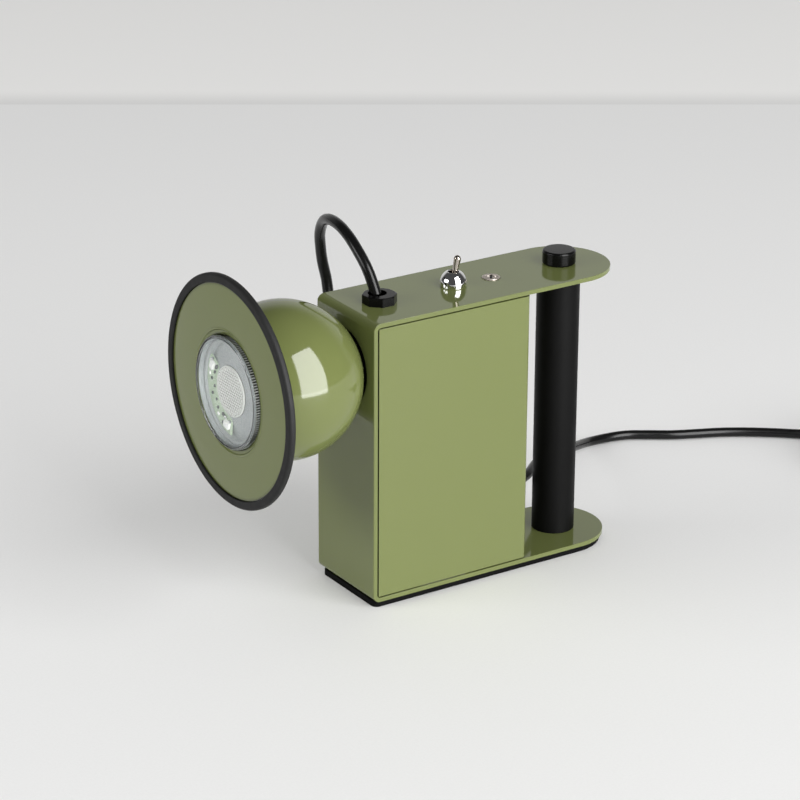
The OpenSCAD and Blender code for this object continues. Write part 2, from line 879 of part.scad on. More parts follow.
// A strap across the back of the ball, cut to the ball's inside
module holder_bracket() {
  color(steel)
    difference() {
      intersection() {
        on_axis(holder_end)
          translate([-ball_r, -bracket_half_w, 0])
            cube([2 * ball_r, 2 * bracket_half_w, bracket_t]);
        translate(ball_c)
          sphere(ball_in - fit_gap);
      }
      for (side = [-1, 1])
        on_axis(holder_end - over)
          translate([side * holder_screw_z, 0, 0])
            cylinder(d = 2.5 + 2 * hole_gap, h = bracket_t + 2 * over);
    }
}

module holder_screws() {
  color(steel)
    for (side = [-1, 1])
      on_axis(holder_end)
        translate([side * holder_screw_z, 0, 0]) {
          translate([0, 0, -6])
            cylinder(d = 2.5, h = 6 + bracket_t + 0.5);
          translate([0, 0, bracket_t])
            cylinder(d = 4.2, h = 0.9);
        }
}

// Two wires from the cord's end to the side of the lamp holder
module head_leads() {
  x_end = ball_c.x + holder_front + holder_len * 0.4;
  color(brass)
    for (side = [-1, 1])
      tube(smooth([
        entry(30.6) + [0, side * 0.5, side * 0.9],
        entry(28.6) + [0, side * 0.5, side * 0.9],
        [x_end - 4, 16.5, ball_c.z - 3.5 + side * 1.8],
        [x_end - 1, holder_d / 2 + 1.5, ball_c.z - 1 + side * 2.2]
      ], 2), lead_d * 0.7, 8, [0, 0, 1]);
}

// A reflector bulb: rim, flared shell, board with its light, ceramic base and two headed pins
shell_t = 1.2;
rim_t = 2.2;
rim_w = 2;
lens_sunk = 0.4;
lens_seat = 1.5;
lens_back = 2.5;
lens_eye_r = 8;
lens_eye_back = 6;
flare_len = 12;
flare_in = 5;
neck_len = 5;
neck_out = 2;
board_at = 11;
board_t = 0.9;
chip_r = 5;
chip_h = 3.4;
shell_end = bulb_len - base_len;

module bulb_body() {
  color(white)
    on_axis(bulb_front)
      rotate_extrude()
        difference() {
          polygon([
            [0, 0], [bulb_r - rim_w * 0.3, 0], [bulb_r, rim_w * 0.3], [bulb_r, rim_t],
            [bulb_r - flare_in * 0.3, rim_t + flare_len * 0.2], [bulb_r - flare_in, rim_t + flare_len],
            [base_r + neck_out, shell_end - neck_len], [base_r, shell_end], [0, shell_end]
          ]);
          polygon([
            [-over, -over], [bulb_r - rim_w, -over], [bulb_r - rim_w, lens_seat],
            [bulb_r - rim_w - shell_t, lens_back + fit_gap * 2],
            [bulb_r - flare_in - shell_t, rim_t + flare_len], [base_r + neck_out - shell_t, shell_end - neck_len],
            [base_r - shell_t, shell_end - shell_t], [-over, shell_end - shell_t]
          ]);
        }
}

module bulb_lens() {
  edge_r = bulb_r - rim_w - 2 * fit_gap;
  color(clear_glass)
    on_axis(bulb_front)
      rotate_extrude()
        polygon([
          [0, lens_sunk], [edge_r, lens_sunk], [edge_r, lens_seat], [edge_r - shell_t, lens_back],
          [lens_eye_r, lens_back], [lens_eye_r * 0.88, lens_eye_back], [0, lens_eye_back]
        ]);
}

module bulb_board() {
  board_r = bulb_r - flare_in - shell_t - 4 * fit_gap;
  color(white)
    on_axis(bulb_front + rim_t + board_at)
      rotate_extrude()
        polygon([
          [0, -chip_h], [chip_r * 0.8, -chip_h], [chip_r, -chip_h * 0.75], [chip_r, 0], [board_r, 0],
          [board_r, board_t], [0, board_t]
        ]);
}

module bulb_base() {
  color(white)
    on_axis(bulb_front + shell_end)
      rotate_extrude()
        polygon([
          [0, 0], [base_r, 0], [base_r, base_len - 3], [base_r - 1.5, base_len], [0, base_len]
        ]);
}

module bulb_pins() {
  color(steel)
    for (side = [-1, 1])
      on_axis(bulb_end)
        translate([0, side * pin_gap / 2, 0]) {
          cylinder(d = pin_d, h = pin_len - 1);
          translate([0, 0, pin_len - 2.4])
            cylinder(d = pin_head_d, h = 2.4);
        }
}

// Screws of the terminal block stand over its wire holes
block_screw_x = [-7, 7];
block_screw_y = [-5, 5];

module terminal_block() {
  color(white)
    translate([block_x, block_y, z_floor])
      difference() {
        translate([-block_size.x / 2, -block_size.y / 2, 0])
          cube(block_size);
        drill(0, 0, -over, 3 + 2 * hole_gap, block_size.z + 2 * over);
        drill(0, 0, block_size.z - 4, 6.5, 4 + over);
        for (x = block_screw_x, y = block_screw_y)
          drill(x, y, block_size.z - 6, 3.5 + 2 * fit_gap, 6 + over);
        for (y = block_screw_y)
          translate([-block_size.x, y, block_size.z / 2])
            rotate([0, 90, 0])
              cylinder(d = 3, h = 2 * block_size.x);
      }
}

module terminal_screws() {
  color(brass)
    for (x = block_screw_x, y = block_screw_y)
      drill(block_x + x, block_y + y, z_floor + block_size.z - 4.2, 3.5, 3.6);
}

module block_screw() {
  color(steel)
    translate([block_x, block_y, 0]) {
      drill(0, 0, sole_t + 0.2, 3, z_floor - sole_t + block_size.z - 4);
      drill(0, 0, z_floor + block_size.z - 4, 5.5, 2);
    }
}

// Wires from the mains to the block, to the switch and to the loop cord
module inner_leads() {
  x_front = block_x - block_size.x / 2 + 3;
  x_back = block_x + block_size.x / 2 - 3;
  z_wire = z_floor + block_size.z / 2;
  z_lug = switch_top - switch_size.z - 4;
  y_low = block_y + block_screw_y[0];
  y_high = block_y + block_screw_y[1];
  routes = [
    [
      [x_rear - 9.4, mains_y + 1.1, mains_z], [x_rear - 12, mains_y + 1.1, mains_z], [-3, 12, 18],
      [-7, y_high + 2, z_wire + 1], [-12.5, y_high, z_wire], [x_back, y_high, z_wire]
    ],
    [
      [x_rear - 9.4, mains_y - 1.1, mains_z], [x_rear - 12, mains_y - 1.1, mains_z], [-3, 6, 20],
      [-5, y_low + 3, 14], [-12.5, y_low, z_wire], [x_back, y_low, z_wire]
    ],
    [
      [x_front, y_high, z_wire], [-38, y_high, z_wire], [-43, 5, 18], [-43, 6, 32], [-35, 6, 70],
      [x_switch - 6.4, 3, z_lug - 10], [x_switch - 6.4, 0, z_lug + 2]
    ],
    [
      [x_switch + 6.4, 0, z_lug + 2], [x_switch + 6.4, -1, z_lug - 5], [-20, -6, z_lug - 16],
      [-42, -4, z_lug - 14], [x_gland + 2.5, -2, z_top - 21], [x_gland + 1.2, 0, z_top - 14.5], [x_gland + 1.2, 0, z_top - 12.5]
    ],
    [
      [x_front, y_low, z_wire], [-38, y_low, z_wire], [-44, -7, 18], [-46, -7, 40], [-49, -6, 80],
      [x_gland - 1.2, -1, z_top - 24], [x_gland - 1.2, 0, z_top - 14.5], [x_gland - 1.2, 0, z_top - 12.5]
    ]
  ];
  color(brass)
    for (route = routes)
      tube(smooth(route, 2), lead_d, 8, [0.1, 1, 0.05]);
}

relief_neck_r = cord_d / 2 + 1.5;
relief_flange_r = cord_d / 2 + 2.8;

// A bush gripped in the cover's rear wall, with a sleeve that tapers along the cord
module mains_relief() {
  color(black)
    translate([x_rear, mains_y, mains_z])
      rotate([0, 90, 0])
        difference() {
          union() {
            cylinder(r = relief_flange_r, h = 2);
            cylinder(r1 = relief_neck_r + 0.6, r2 = cord_d / 2 + 0.6, h = relief_len);
            translate([0, 0, -cover_t - 2])
              cylinder(r = relief_neck_r, h = cover_t + 3);
            translate([0, 0, -cover_t - 2])
              cylinder(r = relief_flange_r - 0.3, h = 2);
          }
          translate([0, 0, -cover_t - 3])
            cylinder(r = cord_d / 2 + fit_gap, h = relief_len + cover_t + 4);
        }
}

module mains_cord() {
  color(black)
    tube(mains_route, cord_d, 8, [0, 0, 1]);
}

module mains_coil() {
  color(black)
    tube(coil_path, cord_d, coil_sides, [0, 0, 1]);
}

module rounded_box(x0, x1, y0, y1, r) {
  translate([x0 + r, y0])
    square([x1 - x0 - 2 * r, y1 - y0]);
  translate([x0, y0 + r])
    square([x1 - x0, y1 - y0 - 2 * r]);
  for (x = [x0 + r, x1 - r], y = [y0 + r, y1 - r])
    translate([x, y])
      circle(r, $fn = 32);
}

// A strap round all the coil's turns; its inner side leaves room for the turns' curve
module cord_tie() {
  tie_angle = 205;
  bow = coil_in_r - cord_d / 2 - sqrt(pow(coil_in_r - cord_d / 2, 2) - pow(tie_w / 2, 2));
  x0 = coil_in_r - cord_d / 2 - bow - coil_gap;
  x1 = coil_out_r + cord_d / 2 + coil_gap;
  z1 = coil_z + (coil_layers - 1) * coil_pitch + cord_d / 2 + coil_gap;
  color(black)
    translate([coil_c.x, coil_c.y, 0])
      rotate([0, 0, tie_angle])
        translate([0, tie_w / 2, 0])
          rotate([90, 0, 0])
            linear_extrude(tie_w)
              difference() {
                rounded_box(x0 - tie_t, x1 + tie_t, 0, z1 + tie_t, 2 + tie_t);
                rounded_box(x0, x1, tie_t, z1, 2);
              }
}

module mains_tail() {
  color(black)
    tube(tail_route, cord_d, 8, [1, 0, 0]);
}

// A flat two-pin plug with a tapered sleeve
module plug_body() {
  y1 = plug_y - plug_relief;
  y2 = y1 - plug_long;
  color(black)
    translate([coil_end.x, 0, 0]) {
      translate([0, plug_y, plug_t / 2])
        rotate([90, 0, 0])
          cylinder(r1 = cord_d / 2 + 0.5, r2 = cord_d / 2 + 2.2, h = plug_relief + over);
      hull()
        for (side = [-1, 1]) {
          translate([side * (plug_pin_gap / 2), y2 + 4, 0])
            cylinder(r = 4, h = plug_t, $fn = 32);
          translate([side * 4, y1 - 3, 1.5])
            cylinder(r = 3, h = plug_t - 3, $fn = 32);
        }
    }
}

module plug_pins() {
  y2 = plug_y - plug_relief - plug_long;
  color(steel)
    for (side = [-1, 1])
      translate([coil_end.x + side * plug_pin_gap / 2, y2, plug_t / 2])
        rotate([90, 0, 0]) {
          cylinder(d = plug_pin_d, h = plug_pin_len - 1);
          translate([0, 0, plug_pin_len - 1])
            cylinder(d1 = plug_pin_d, d2 = plug_pin_d - 1.4, h = 1);
        }
}

frame_strip();
cover();
cover_screws();
cover_nuts();
base_sole();
handle_tube();
handle_plugs();
handle_cap();
handle_foot_screw();
gland_body();
gland_locknut();
gland_seal();
loop_cord();
switch_body();
switch_dome_nut();
switch_locknut();
switch_terminals();
switch_lever();
seat_bush();
seat_cup();
seat_magnet();
seat_clip();
ball_shell();
ball_grommet();
head_disc();
edge_trim();
lamp_holder();
holder_bracket();
holder_screws();
head_leads();
bulb_body();
bulb_lens();
bulb_board();
bulb_base();
bulb_pins();
terminal_block();
terminal_screws();
block_screw();
inner_leads();
mains_relief();
mains_cord();
mains_coil();
cord_tie();
mains_tail();
plug_body();
plug_pins();
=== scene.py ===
# %% [markdown]
# A small table lamp in olive lacquer: a strip of sheet steel folded into a C, a sheet cover inside it,
# a black tube for a handle, and a ball head with a round screen that a magnet holds at the end wall.
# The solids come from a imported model, which is the fixed frame. Each step below dresses one group of
# pieces, so that a reader can run the cells one by one and see the lamp appear.

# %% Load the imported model
import json
import math

import bmesh
import bpy
from mathutils import Matrix, Vector


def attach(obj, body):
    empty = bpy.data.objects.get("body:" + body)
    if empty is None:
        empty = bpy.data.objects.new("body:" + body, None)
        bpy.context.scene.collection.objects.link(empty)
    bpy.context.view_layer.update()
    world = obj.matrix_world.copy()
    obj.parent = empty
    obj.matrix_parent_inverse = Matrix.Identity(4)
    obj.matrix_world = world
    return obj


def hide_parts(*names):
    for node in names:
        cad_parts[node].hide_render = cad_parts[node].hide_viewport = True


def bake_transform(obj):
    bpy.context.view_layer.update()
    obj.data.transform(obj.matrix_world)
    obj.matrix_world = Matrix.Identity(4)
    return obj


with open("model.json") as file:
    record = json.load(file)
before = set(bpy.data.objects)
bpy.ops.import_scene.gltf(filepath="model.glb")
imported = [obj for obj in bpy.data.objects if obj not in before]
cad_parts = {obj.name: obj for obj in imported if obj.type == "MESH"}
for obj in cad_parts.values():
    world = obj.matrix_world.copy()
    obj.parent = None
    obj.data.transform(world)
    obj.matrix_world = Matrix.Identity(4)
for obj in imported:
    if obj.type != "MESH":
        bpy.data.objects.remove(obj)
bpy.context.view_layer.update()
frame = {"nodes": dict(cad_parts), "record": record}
MM = 0.001

# %% [markdown]
# The camera comes first. Its place was found by fitting a pinhole camera to the straight edges and the
# circles of the photograph: a long lens from about one and a half metres, turned 33 degrees from the
# lamp's side and looking down by 22 degrees.

# %% Camera
CAMERA_AT = Vector((-761.07, -1098.48, 612.61)) * MM
YAW, PITCH, ROLL = 0.5811217, 0.3814279, 0.0051804

forward = Vector((math.sin(YAW) * math.cos(PITCH), math.cos(YAW) * math.cos(PITCH), -math.sin(PITCH)))
level = Vector((math.cos(YAW), -math.sin(YAW), 0.0))
upward = level.cross(forward)
right = math.cos(ROLL) * level + math.sin(ROLL) * upward
top = -math.sin(ROLL) * level + math.cos(ROLL) * upward

lens = bpy.data.cameras.new("view_camera")
lens.sensor_width = 36.0
lens.lens = 144.992
lens.clip_start, lens.clip_end = 0.05, 20.0
view_camera = bpy.data.objects.new("view_camera", lens)
bpy.context.scene.collection.objects.link(view_camera)
turn = Matrix((right, top, -forward)).transposed().to_4x4()
view_camera.matrix_world = Matrix.Translation(CAMERA_AT) @ turn
bpy.context.scene.camera = view_camera
print("camera at", [round(c, 3) for c in CAMERA_AT])

# %% [markdown]
# The cords are next, because they decide how far the whole lamp spreads. A real cord has one length
# and no sharp bend, so each is a smooth curve through a few chosen points. The curve's bevel gives the
# round section. The loop that joins the body to the head has to bend as the head turns, so it becomes
# a mesh in two lengths.

# %% Cord routes
CORD_D, LOOP_D = 4.6 * MM, 5.0 * MM


def smooth_route(points, steps):
    """Points of a smooth curve through a route, in metres."""
    p = [Vector(q) * MM for q in points]
    p = [2 * p[0] - p[1], *p, 2 * p[-1] - p[-2]]
    out = []
    for a, b, c, d in zip(p, p[1:], p[2:], p[3:]):
        for k in range(steps):
            t = k / steps
            out.append(0.5 * (2 * b + (c - a) * t + (2 * a - 5 * b + 4 * c - d) * t**2
                              + (3 * b - a - 3 * c + d) * t**3))
    return out + [p[-2]]


BALL = Vector((-100, 0, 107.8))
ENTRY_TURN, ENTRY_DIP = math.radians(52), math.radians(10)
ENTRY = Vector((math.cos(ENTRY_DIP) * math.cos(ENTRY_TURN), math.cos(ENTRY_DIP) * math.sin(ENTRY_TURN),
                -math.sin(ENTRY_DIP)))
loop_points = [
    (-50.5, 0, 121.5), (-50.5, 0, 127.5), (-51, 1, 134.5), (-51.7, 3.8, 141.5), (-52.3, 8.1, 148),
    (-52.7, 15.1, 154), (-52.2, 22.5, 157.6), (-51.3, 31.1, 159.6), (-49.7, 41.2, 159.2), (-47, 51.1, 155.2),
    (-44.4, 58.4, 147.5), (-42, 62, 139.9), (-39.8, 63.8, 131), (-38.3, 62.6, 121.5), (-39.8, 59, 112),
    (-46.3, 54, 104.2), (-54.3, 48.5, 100.3), (-62.7, 43, 98.9),
    BALL + 47 * ENTRY, BALL + 39 * ENTRY, BALL + 31 * ENTRY,
]
mains_points = [
    (5, 15.5, 24), (34, 15.5, 24), (40.5, 17, 24), (46.7, 21, 24), (53, 26.4, 23.7), (60.7, 32.8, 22.6),
    (69.5, 39.5, 20.3), (79.5, 46.9, 17), (89.7, 54.4, 13.2), (99.6, 61.7, 9.6), (108.7, 68, 6.6),
    (115.2, 72.2, 4.7), (121.6, 75.1, 3.3), (131.9, 76.2, 2.5), (142.7, 74, 2.5), (152.6, 68.2, 2.5),
    (163, 61.5, 2.5), (174, 56.4, 2.5), (185.1, 51.4, 2.5), (195.8, 44.9, 2.5), (207.2, 36.5, 2.5),
    (216.5, 28.7, 2.5), (226, 22.3, 2.6), (237, 17.5, 2.9), (248.5, 11.8, 3.5),
]

# %% [markdown]
# The length that a table doesn't need is wound for storage: nine loops that spiral in and out in four
# layers and climb a layer where the spiral turns back. The plug lies beside the coil.

# %% Coil and tail of the mains cord
COIL_X, COIL_Y, COIL_Z = 239, -23, 3.8
COIL_MID_R, COIL_PITCH = 25.5, 5.1
COIL_FROM = 43
COIL_TURNS = 9 + COIL_FROM / 360
LAYER_TURNS = COIL_TURNS / 4


def ease(t):
    t = min(max(t, 0.0), 1.0)
    return t * t * (3 - 2 * t)


def coil_point(t):
    """A point of the coil after t turns, in millimetres."""
    swing = abs((t / LAYER_TURNS) % 2 - 1) - 0.5
    r = COIL_MID_R + COIL_PITCH * LAYER_TURNS * swing
    a = math.radians(COIL_FROM - 360 * t)
    layer = sum(ease((t - k * LAYER_TURNS) / 0.5 + 0.5) for k in (1, 2, 3))
    return Vector((COIL_X + r * math.cos(a), COIL_Y + r * math.sin(a), COIL_Z + COIL_PITCH * layer))


COIL_STEPS = 400
coil_points = [coil_point(COIL_TURNS * i / COIL_STEPS) for i in range(COIL_STEPS + 1)]
lead_in, start_turn = CORD_D / MM, math.radians(COIL_FROM)
coil_start = coil_points[0] - lead_in * Vector((math.sin(start_turn), -math.cos(start_turn), 0))
coil_end = coil_points[-1] + lead_in * Vector((0, -1, 0))
PLUG_Y, PLUG_Z = -60, 7
tail_points = [
    coil_end, coil_end + Vector((0, -4, 0)), coil_end + Vector((0, -12, -3.5)),
    (coil_end.x, PLUG_Y + 13, PLUG_Z + 3), (coil_end.x, PLUG_Y + 4, PLUG_Z), (coil_end.x, PLUG_Y, PLUG_Z),
]


def length_of(path):
    return sum((b - a).length for a, b in zip(path, path[1:]))


MAINS_STEPS, LOOP_STEPS = 4, 6
mains_path = smooth_route(mains_points + [coil_start], MAINS_STEPS)
mains_path += [p * MM for p in coil_points] + smooth_route(tail_points, MAINS_STEPS)
loop_path = smooth_route(loop_points, LOOP_STEPS)
print("mains cord", round(length_of(mains_path), 3), "m, loop", round(length_of(loop_path), 3), "m")

# %% [markdown]
# A curve with a round bevel is the quickest cord. Each is then turned into a mesh, because only a mesh
# can bend with a hinge. The loop is cut where the seat cup's side ends and the ball's side begins.

# %% Cords
LOOP_CUT, BEND_FROM, BEND_TO = 15 * LOOP_STEPS, 4 * LOOP_STEPS, -2 * LOOP_STEPS


def cord_curve(name, path, thick):
    """A curve object with a round section along a path."""
    curve = bpy.data.curves.new(name, "CURVE")
    curve.dimensions = "3D"
    curve.bevel_depth = thick / 2
    curve.bevel_resolution = 5
    curve.use_fill_caps = True
    line = curve.splines.new("POLY")
    line.points.add(len(path) - 1)
    for point, at in zip(line.points, path):
        point.co = (*at, 1.0)
    line.use_smooth = True
    piece = bpy.data.objects.new(name, curve)
    bpy.context.scene.collection.objects.link(piece)
    return piece


def as_mesh(piece):
    """Replaces a curve object by a mesh object of the same name and shape."""
    name = piece.name
    depsgraph = bpy.context.evaluated_depsgraph_get()
    mesh = bpy.data.meshes.new_from_object(piece.evaluated_get(depsgraph))
    curve = piece.data
    bpy.data.objects.remove(piece)
    bpy.data.curves.remove(curve)
    mesh.name = name
    made = bpy.data.objects.new(name, mesh)
    bpy.context.scene.collection.objects.link(made)
    return made


mains_flex = as_mesh(cord_curve("mains_flex", mains_path, CORD_D))
loop_upper = as_mesh(cord_curve("loop_upper", loop_path[:LOOP_CUT + 1], LOOP_D))
loop_lower = as_mesh(cord_curve("loop_lower", loop_path[LOOP_CUT:], LOOP_D))
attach(mains_flex, "body")
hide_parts("mains_cord", "mains_coil", "mains_tail")
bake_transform(loop_upper)
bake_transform(loop_lower)
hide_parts("loop_cord")
print("loop in two lengths:", len(loop_upper.data.vertices), "and", len(loop_lower.data.vertices), "points")

# %% [markdown]
# Every finish is a small node tree. Two helpers keep the trees readable. Value wraps a socket, so that
# arithmetic can be written as Python, and each operator adds one Math node. Finish adds any other node
# with one method: first the node's settings, then the values or links of its sockets.

# %% Node helpers
class Value:
    """A socket that a shader expression can use like a number."""

    def __init__(self, finish, socket):
        self.finish, self.socket = finish, socket

    def math(self, operation, a, b):
        return self.finish.node("Math", {"operation": operation}, {0: a, 1: b})

    def __add__(self, other):
        return self.math("ADD", self, other)

    def __sub__(self, other):
        return self.math("SUBTRACT", self, other)

    def __rsub__(self, other):
        return self.math("SUBTRACT", other, self)

    def __mul__(self, other):
        return self.math("MULTIPLY", self, other)

    def __gt__(self, other):
        return self.math("GREATER_THAN", self, other)

    __radd__ = __add__
    __rmul__ = __mul__


class Finish:
    """A material, or the world, whose nodes are all added by one method."""

    def __init__(self, name, owners=bpy.data.materials, shader="Principled BSDF", place="Object"):
        self.owner = owners.new(name)
        self.owner.use_nodes = True
        self.tree = self.owner.node_tree
        self.shader = self.tree.nodes[shader]
        self.place = self.node("TexCoord", {}, {}, place)

    def node(self, kind, settings, inputs, output=0):
        made = self.tree.nodes.new("ShaderNode" + kind)
        for name, value in settings.items():
            setattr(made, name, value)
        self.feed(made, inputs)
        return Value(self, made.outputs[output])

    def feed(self, made, inputs):
        for name, value in inputs.items():
            if isinstance(value, Value):
                self.tree.links.new(value.socket, made.inputs[name])
            else:
                made.inputs[name].default_value = value

    def noise(self, size, detail=3.0, stretch=(1, 1, 1)):
        """Noise from 0 to 1 in blotches of about a size in millimetres."""
        place = self.node("Mapping", {}, {"Vector": self.place, "Scale": [s / (size * MM) for s in stretch]})
        return self.node("TexNoise", {}, {"Vector": place, "Scale": 1.0, "Detail": detail})

    def mix(self, factor, first, second):
        """A colour between two others."""
        return self.node("Mix", {"data_type": "RGBA"}, {0: factor, 6: first, 7: second}, 2)

    def bump(self, height, depth):
        """A normal from a height, where 1 stands for a depth in millimetres."""
        return self.node("Bump", {}, {"Height": height, "Distance": depth * MM, "Strength": 1.0})

    def set(self, inputs):
        self.feed(self.shader, inputs)
        print("finish", self.owner.name, "with", len(self.tree.nodes), "nodes")
        return self.owner


def tint(r, g, b):
    return (r, g, b, 1.0)


# %% [markdown]
# The lacquer is the lamp's main finish: a wet-looking olive coat that was sprayed on sheet steel. Its
# gloss is sharp enough to mirror a window, so the roughness is low. Sprayed paint is never quite flat,
# and a very shallow noise of about two millimetres gives that orange-peel ripple to the reflections.
# A slow noise shifts the tone a little, as coats of uneven thickness do. Where other metal stands close,
# in seams and gaps, the coat is painted nearly black as painted shade. Faces that look up are left out of
# it.

# %% Lacquer
lacquer = Finish("olive_lacquer")
# Painted shade: ambient occlusion within this reach darkens the coat to near black in seams and gaps, except
# on faces that look up.
PAINTED_SHADE_REACH = 1.6
painted_seam_shade = lacquer.node("AmbientOcclusion", {"samples": 8}, {"Distance": PAINTED_SHADE_REACH * MM}, "AO")
painted_seam_shade = lacquer.node("MapRange", {}, {0: painted_seam_shade, 1: 0.6, 2: 0.96})
faces_up = lacquer.node("SeparateXYZ", {}, {0: lacquer.node("TexCoord", {}, {}, "Normal")}, "Z")
faces_up = lacquer.node("MapRange", {}, {0: faces_up, 1: 0.5, 2: 0.9})
painted_seam_shade = lacquer.node("MapRange", {}, {0: painted_seam_shade + faces_up, 1: 0.0, 2: 1.0})
coat = lacquer.mix(lacquer.noise(70), tint(0.124, 0.145, 0.046), tint(0.132, 0.153, 0.053))
FINISHES = {"olive_lacquer": lacquer.set({
    "Base Color": lacquer.mix(painted_seam_shade, tint(0.006, 0.007, 0.003), coat),
    "Roughness": 0.05 + 0.05 * lacquer.noise(9, 5.0),
    "Normal": lacquer.bump(lacquer.noise(2.2, 1.0), 0.0025),
    "IOR": 1.5,
})}

# %% [markdown]
# Black parts differ by their surface more than by their colour. The tube has satin paint with a fine
# grain, the mouldings have a softer sheen with spark-eroded grain, the rubber is matt and a little
# dusty, the sole's rubber is darker, and the cord's jacket is smooth enough to carry a long highlight.

# %% Black finishes
tube_paint = Finish("tube_black")
FINISHES["tube_black"] = tube_paint.set({
    "Base Color": tube_paint.mix(tube_paint.noise(30), tint(0.002, 0.002, 0.002), tint(0.004, 0.004, 0.004)),
    "Roughness": 0.42 + 0.12 * tube_paint.noise(4),
    "Normal": tube_paint.bump(tube_paint.noise(0.7, 2.0), 0.01),
    "Specular IOR Level": 0.085,
})
moulding = Finish("black_plastic")
FINISHES["black_plastic"] = moulding.set({
    "Base Color": moulding.mix(moulding.noise(8), tint(0.0015, 0.0015, 0.0015), tint(0.003, 0.003, 0.003)),
    "Roughness": 0.2 + 0.06 * moulding.noise(6),
    "Normal": moulding.bump(moulding.noise(0.4, 2.0), 0.005),
    "Specular IOR Level": 0.18,
})
rubber = Finish("black_rubber")
FINISHES["black_rubber"] = rubber.set({
    "Base Color": rubber.mix(rubber.noise(5, 5.0), tint(0.008, 0.008, 0.008), tint(0.014, 0.014, 0.014)),
    "Roughness": 0.5 + 0.2 * rubber.noise(3),
    "Normal": rubber.bump(rubber.noise(0.5, 2.0), 0.02),
    "Specular IOR Level": 0.22,
})
sole = Finish("sole_rubber")
FINISHES["sole_rubber"] = sole.set({
    "Base Color": sole.mix(sole.noise(5), tint(0.002, 0.002, 0.002), tint(0.004, 0.004, 0.004)),
    "Roughness": 0.55 + 0.2 * sole.noise(3),
    "Normal": sole.bump(sole.noise(0.5, 2.0), 0.02),
    "Specular IOR Level": 0.06,
})
jacket = Finish("cord_jacket")
FINISHES["cord_jacket"] = jacket.set({
    "Base Color": jacket.mix(jacket.noise(12), tint(0.003, 0.003, 0.003), tint(0.006, 0.006, 0.006)),
    "Roughness": 0.16 + 0.14 * jacket.noise(3),
    "Normal": jacket.bump(jacket.noise(1.5, 3.0), 0.012),
    "Specular IOR Level": 0.25,
})

# %% [markdown]
# The metals are told apart by colour and by how they were worked: chrome is a mirror with a few faint
# wipe marks, nickel on the lever is darker and warmer, zinc on the screws is greyer and cloudy, and
# brass is yellow with a dull skin.

# %% Metal finishes
chrome = Finish("chrome")
FINISHES["chrome"] = chrome.set({
    "Base Color": chrome.mix(chrome.noise(3), tint(0.80, 0.80, 0.81), tint(0.88, 0.88, 0.88)),
    "Metallic": 1.0,
    "Roughness": 0.03 + 0.06 * chrome.noise(1.2, 4.0),
})
nickel = Finish("lever_nickel")
FINISHES["lever_nickel"] = nickel.set({
    "Base Color": nickel.mix(nickel.noise(3), tint(0.36, 0.32, 0.28), tint(0.46, 0.42, 0.37)),
    "Metallic": 1.0,
    "Roughness": 0.08 + 0.08 * nickel.noise(1.2, 4.0),
})
zinc = Finish("zinc_steel")
FINISHES["steel"] = zinc.set({
    "Base Color": zinc.mix(zinc.noise(1.8, 4.0), tint(0.52, 0.46, 0.41), tint(0.70, 0.64, 0.58)),
    "Metallic": 1.0,
    "Roughness": 0.36 + 0.2 * zinc.noise(0.9),
    "Normal": zinc.bump(zinc.noise(0.5), 0.008),
})
brass = Finish("brass")
FINISHES["brass"] = brass.set({
    "Base Color": brass.mix(brass.noise(2), tint(0.50, 0.34, 0.12), tint(0.66, 0.48, 0.20)),
    "Metallic": 1.0,
    "Roughness": 0.3 + 0.2 * brass.noise(1),
})

# %% [markdown]
# Inside are the parts that only show when the lamp is taken apart: wires whose colour tells the two
# conductors apart by the side they run on, a white ceramic holder and the bulb's white shell.

# %% Inner finishes
wire = Finish("wire")
blue_side = wire.node("SeparateXYZ", {}, {0: wire.place}, "Y") > 0.5 * MM
FINISHES["wire"] = wire.set({
    "Base Color": wire.mix(blue_side, tint(0.13, 0.045, 0.018), tint(0.02, 0.07, 0.32)),
    "Roughness": 0.35 + 0.2 * wire.noise(2),
})
ceramic = Finish("ceramic")
FINISHES["ceramic"] = ceramic.set({
    "Base Color": ceramic.mix(ceramic.noise(6, 4.0), tint(0.70, 0.69, 0.65), tint(0.80, 0.79, 0.76)),
    "Roughness": 0.3 + 0.15 * ceramic.noise(4),
    "Normal": ceramic.bump(ceramic.noise(0.8), 0.01),
})
shell_white = Finish("bulb_shell")
FINISHES["bulb_shell"] = shell_white.set({
    "Base Color": shell_white.mix(shell_white.noise(8), tint(0.26, 0.28, 0.28), tint(0.35, 0.37, 0.37)),
    "Roughness": 0.28 + 0.12 * shell_white.noise(5),
})

# %% [markdown]
# The bulb's front is clear moulded plastic. The thick rim bends the light that passes it, so its shader
# transmits. The thin front sheet hardly bends it and is only a faint veil with some alpha. A dark sleeve in
# the rim is painted shade behind the ribs, and its pale stripes by the angle round the beam are painted
# glints of the ribs. The lens behind is milky and shines, with painted shade in the gaps between its domes.

# %% Clear plastic
clear = Finish("bulb_glass")
FINISHES["bulb_glass"] = clear.set({
    "Base Color": clear.mix(clear.noise(6), tint(0.90, 0.94, 0.94), tint(0.96, 0.98, 0.98)),
    "Roughness": 0.03 + 0.06 * clear.noise(2),
    "Transmission Weight": 1.0,
    "IOR": 1.49,
})
veil = Finish("bulb_window")
FINISHES["bulb_window"] = veil.set({
    "Base Color": veil.mix(veil.noise(3), tint(0.74, 0.80, 0.80), tint(0.84, 0.88, 0.87)),
    "Roughness": 0.04 + 0.04 * veil.noise(2),
    "Alpha": 0.06 + 0.08 * veil.noise(1.5),
})
RIBS = 130
